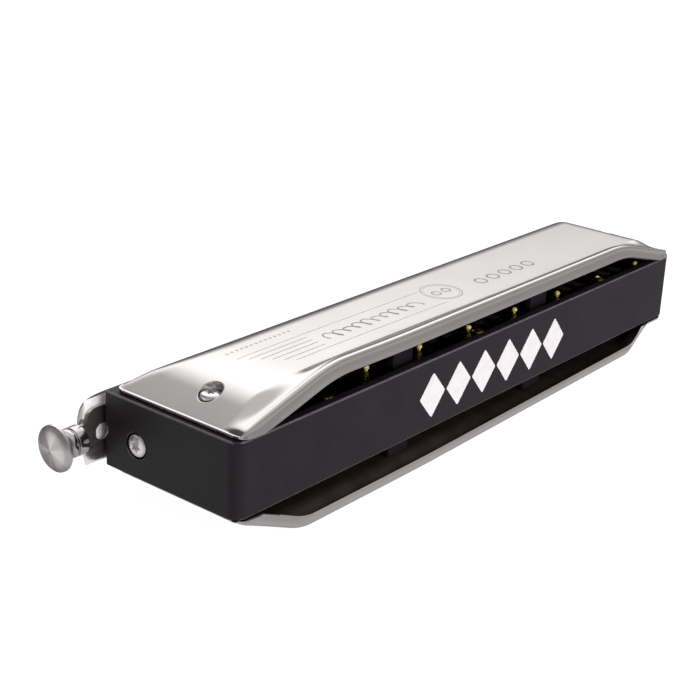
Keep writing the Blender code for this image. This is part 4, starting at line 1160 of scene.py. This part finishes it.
def area_light(name, place, aim, size, power, spread=180):
    """A soft rectangular light that looks at a point, in metres."""
    data = bpy.data.lights.new(name, "AREA")
    data.shape = "RECTANGLE"
    data.size, data.size_y = size
    data.energy = power
    data.spread = math.radians(spread)
    lamp = bpy.data.objects.new(name, data)
    lamp.location = place
    lamp.visible_glossy = False
    lamp.rotation_euler = (Vector(aim) - Vector(place)).to_track_quat("-Z", "Y").to_euler()
    SCENE.collection.objects.link(lamp)


def make_world():
    """Grey surroundings with one large soft light behind the far end, and darkness on the near side."""
    world = bpy.data.worlds.new("studio")
    world.use_nodes = True
    SCENE.world = world
    tree = world.node_tree

    def node(kind, inputs=(), **values):
        made = tree.nodes.new(kind)
        for key, value in values.items():
            setattr(made, key, value)
        for key, value in inputs:
            if isinstance(value, bpy.types.NodeSocket):
                tree.links.new(value, made.inputs[key])
            else:
                made.inputs[key].default_value = value
        return made.outputs

    def stepped(value, start, end, low, high):
        ranges = (("Value", value), ("From Min", start), ("From Max", end), ("To Min", low), ("To Max", high))
        return node("ShaderNodeMapRange", ranges, interpolation_type="SMOOTHSTEP")["Result"]

    def maths(kind, a, b):
        return node("ShaderNodeMath", ((0, a), (1, b)), operation=kind)["Value"]

    def vectors(kind, a, b):
        second = 3 if kind == "SCALE" else 1
        return node("ShaderNodeVectorMath", ((0, a), (second, b)), operation=kind)

    def lobe(direction, start, end, low, high):
        """A value that changes with the nearness of the view's direction to a given one."""
        return stepped(vectors("DOT_PRODUCT", way, direction)["Value"], start, end, low, high)

    way = node("ShaderNodeTexCoord")["Generated"]
    parts = node("ShaderNodeSeparateXYZ", (("Vector", way),))
    rise = stepped(parts["Z"], 0.14, 0.42, 0.06, 1.0)
    box = maths("MULTIPLY", lobe(SOFTBOX_WAY, 0.66, 0.97, 0.0, SOFTBOX), rise)
    halved = node("ShaderNodeMath", ((0, parts["Z"]), (1, 0.5), (2, 0.5)), operation="MULTIPLY_ADD")["Value"]
    ramp = tree.nodes.new("ShaderNodeValToRGB")
    tree.links.new(halved, ramp.inputs["Fac"])
    elements = ramp.color_ramp.elements
    while len(elements) < len(SKY_LEVELS):
        elements.new(0.5)
    for element, (angle, value) in zip(elements, SKY_LEVELS):
        element.position = 0.5 + 0.5 * math.sin(math.radians(angle))
        element.color = (value, value * 0.97, value * 0.98, 1.0)
    near = maths("MULTIPLY", stepped(parts["X"], -0.15, 0.45, 1.0, 0.7), lobe(FLAG_WAY, 0.88, 0.97, 1.0, 0.2))
    above = stepped(parts["Z"], -0.05, 0.1, 0.0, 1.0)
    shade = node("ShaderNodeMix", (("Factor", above), (2, 1.0), (3, near)))[0]
    light = vectors("SCALE", ramp.outputs["Color"], shade)["Vector"]
    below = stepped(parts["Z"], 0.0, 0.16, 1.0, 0.0)
    gloom = maths("MULTIPLY", lobe(SHADOW_WAY, 0.8, 0.95, 0.0, 0.85), below)
    light = vectors("SCALE", light, maths("SUBTRACT", 1.0, gloom))["Vector"]
    light = vectors("ADD", light, lobe(LOW_GLOW_WAY, 0.86, 0.98, 0.0, LOW_GLOW))["Vector"]
    light = vectors("ADD", light, box)["Vector"]
    tree.links.new(light, tree.nodes["Background"].inputs["Color"])


def make_camera():
    """The photograph's view, solved from the comb's edges. Lengths are in metres, angles in degrees."""
    aim = Vector((0.01567, -0.01124, 0.0157))
    distance, azimuth, elevation, roll = 0.36798, 51.236, 21.526, 2.551
    turn, rise = math.radians(azimuth), math.radians(elevation)
    away = Vector((math.sin(turn) * math.cos(rise), math.cos(turn) * math.cos(rise), math.sin(rise)))
    forward = -away
    right = forward.cross(Vector((0, 0, 1))).normalized()
    up = right.cross(forward)
    lean = math.radians(roll)
    side = right * math.cos(lean) + up * math.sin(lean)
    top = up * math.cos(lean) - right * math.sin(lean)
    data = bpy.data.cameras.new("camera")
    data.lens, data.sensor_width = 77.63, 36.0
    data.clip_start = 0.01
    camera = bpy.data.objects.new("camera", data)
    basis = Matrix((side, top, away)).transposed().to_4x4()
    camera.matrix_world = Matrix.Translation(aim + away * distance) @ basis
    SCENE.collection.objects.link(camera)
    SCENE.camera = camera


make_camera()
make_comb()
make_back_mark()
make_cover("cover_upper_sheet", 1, "cover_upper")
make_cover("cover_lower_sheet", -1, "cover_lower")
make_engraving()
make_reed_plate("upper", 1)
make_reed_plate("lower", -1)
make_mouthpiece()
make_cage()
make_slide()
make_button()
make_spring()
make_fasteners()
make_floor()
make_world()
area_light("overhead", (0.1, 0.05, 0.9), (0, 0, 0), (0.9, 0.9), 9.0)
area_light("back_fill", (0.1, 0.9, 0.35), (0, 0, 0), (0.9, 0.6), 16.0)
SCENE.view_settings.view_transform = "Standard"
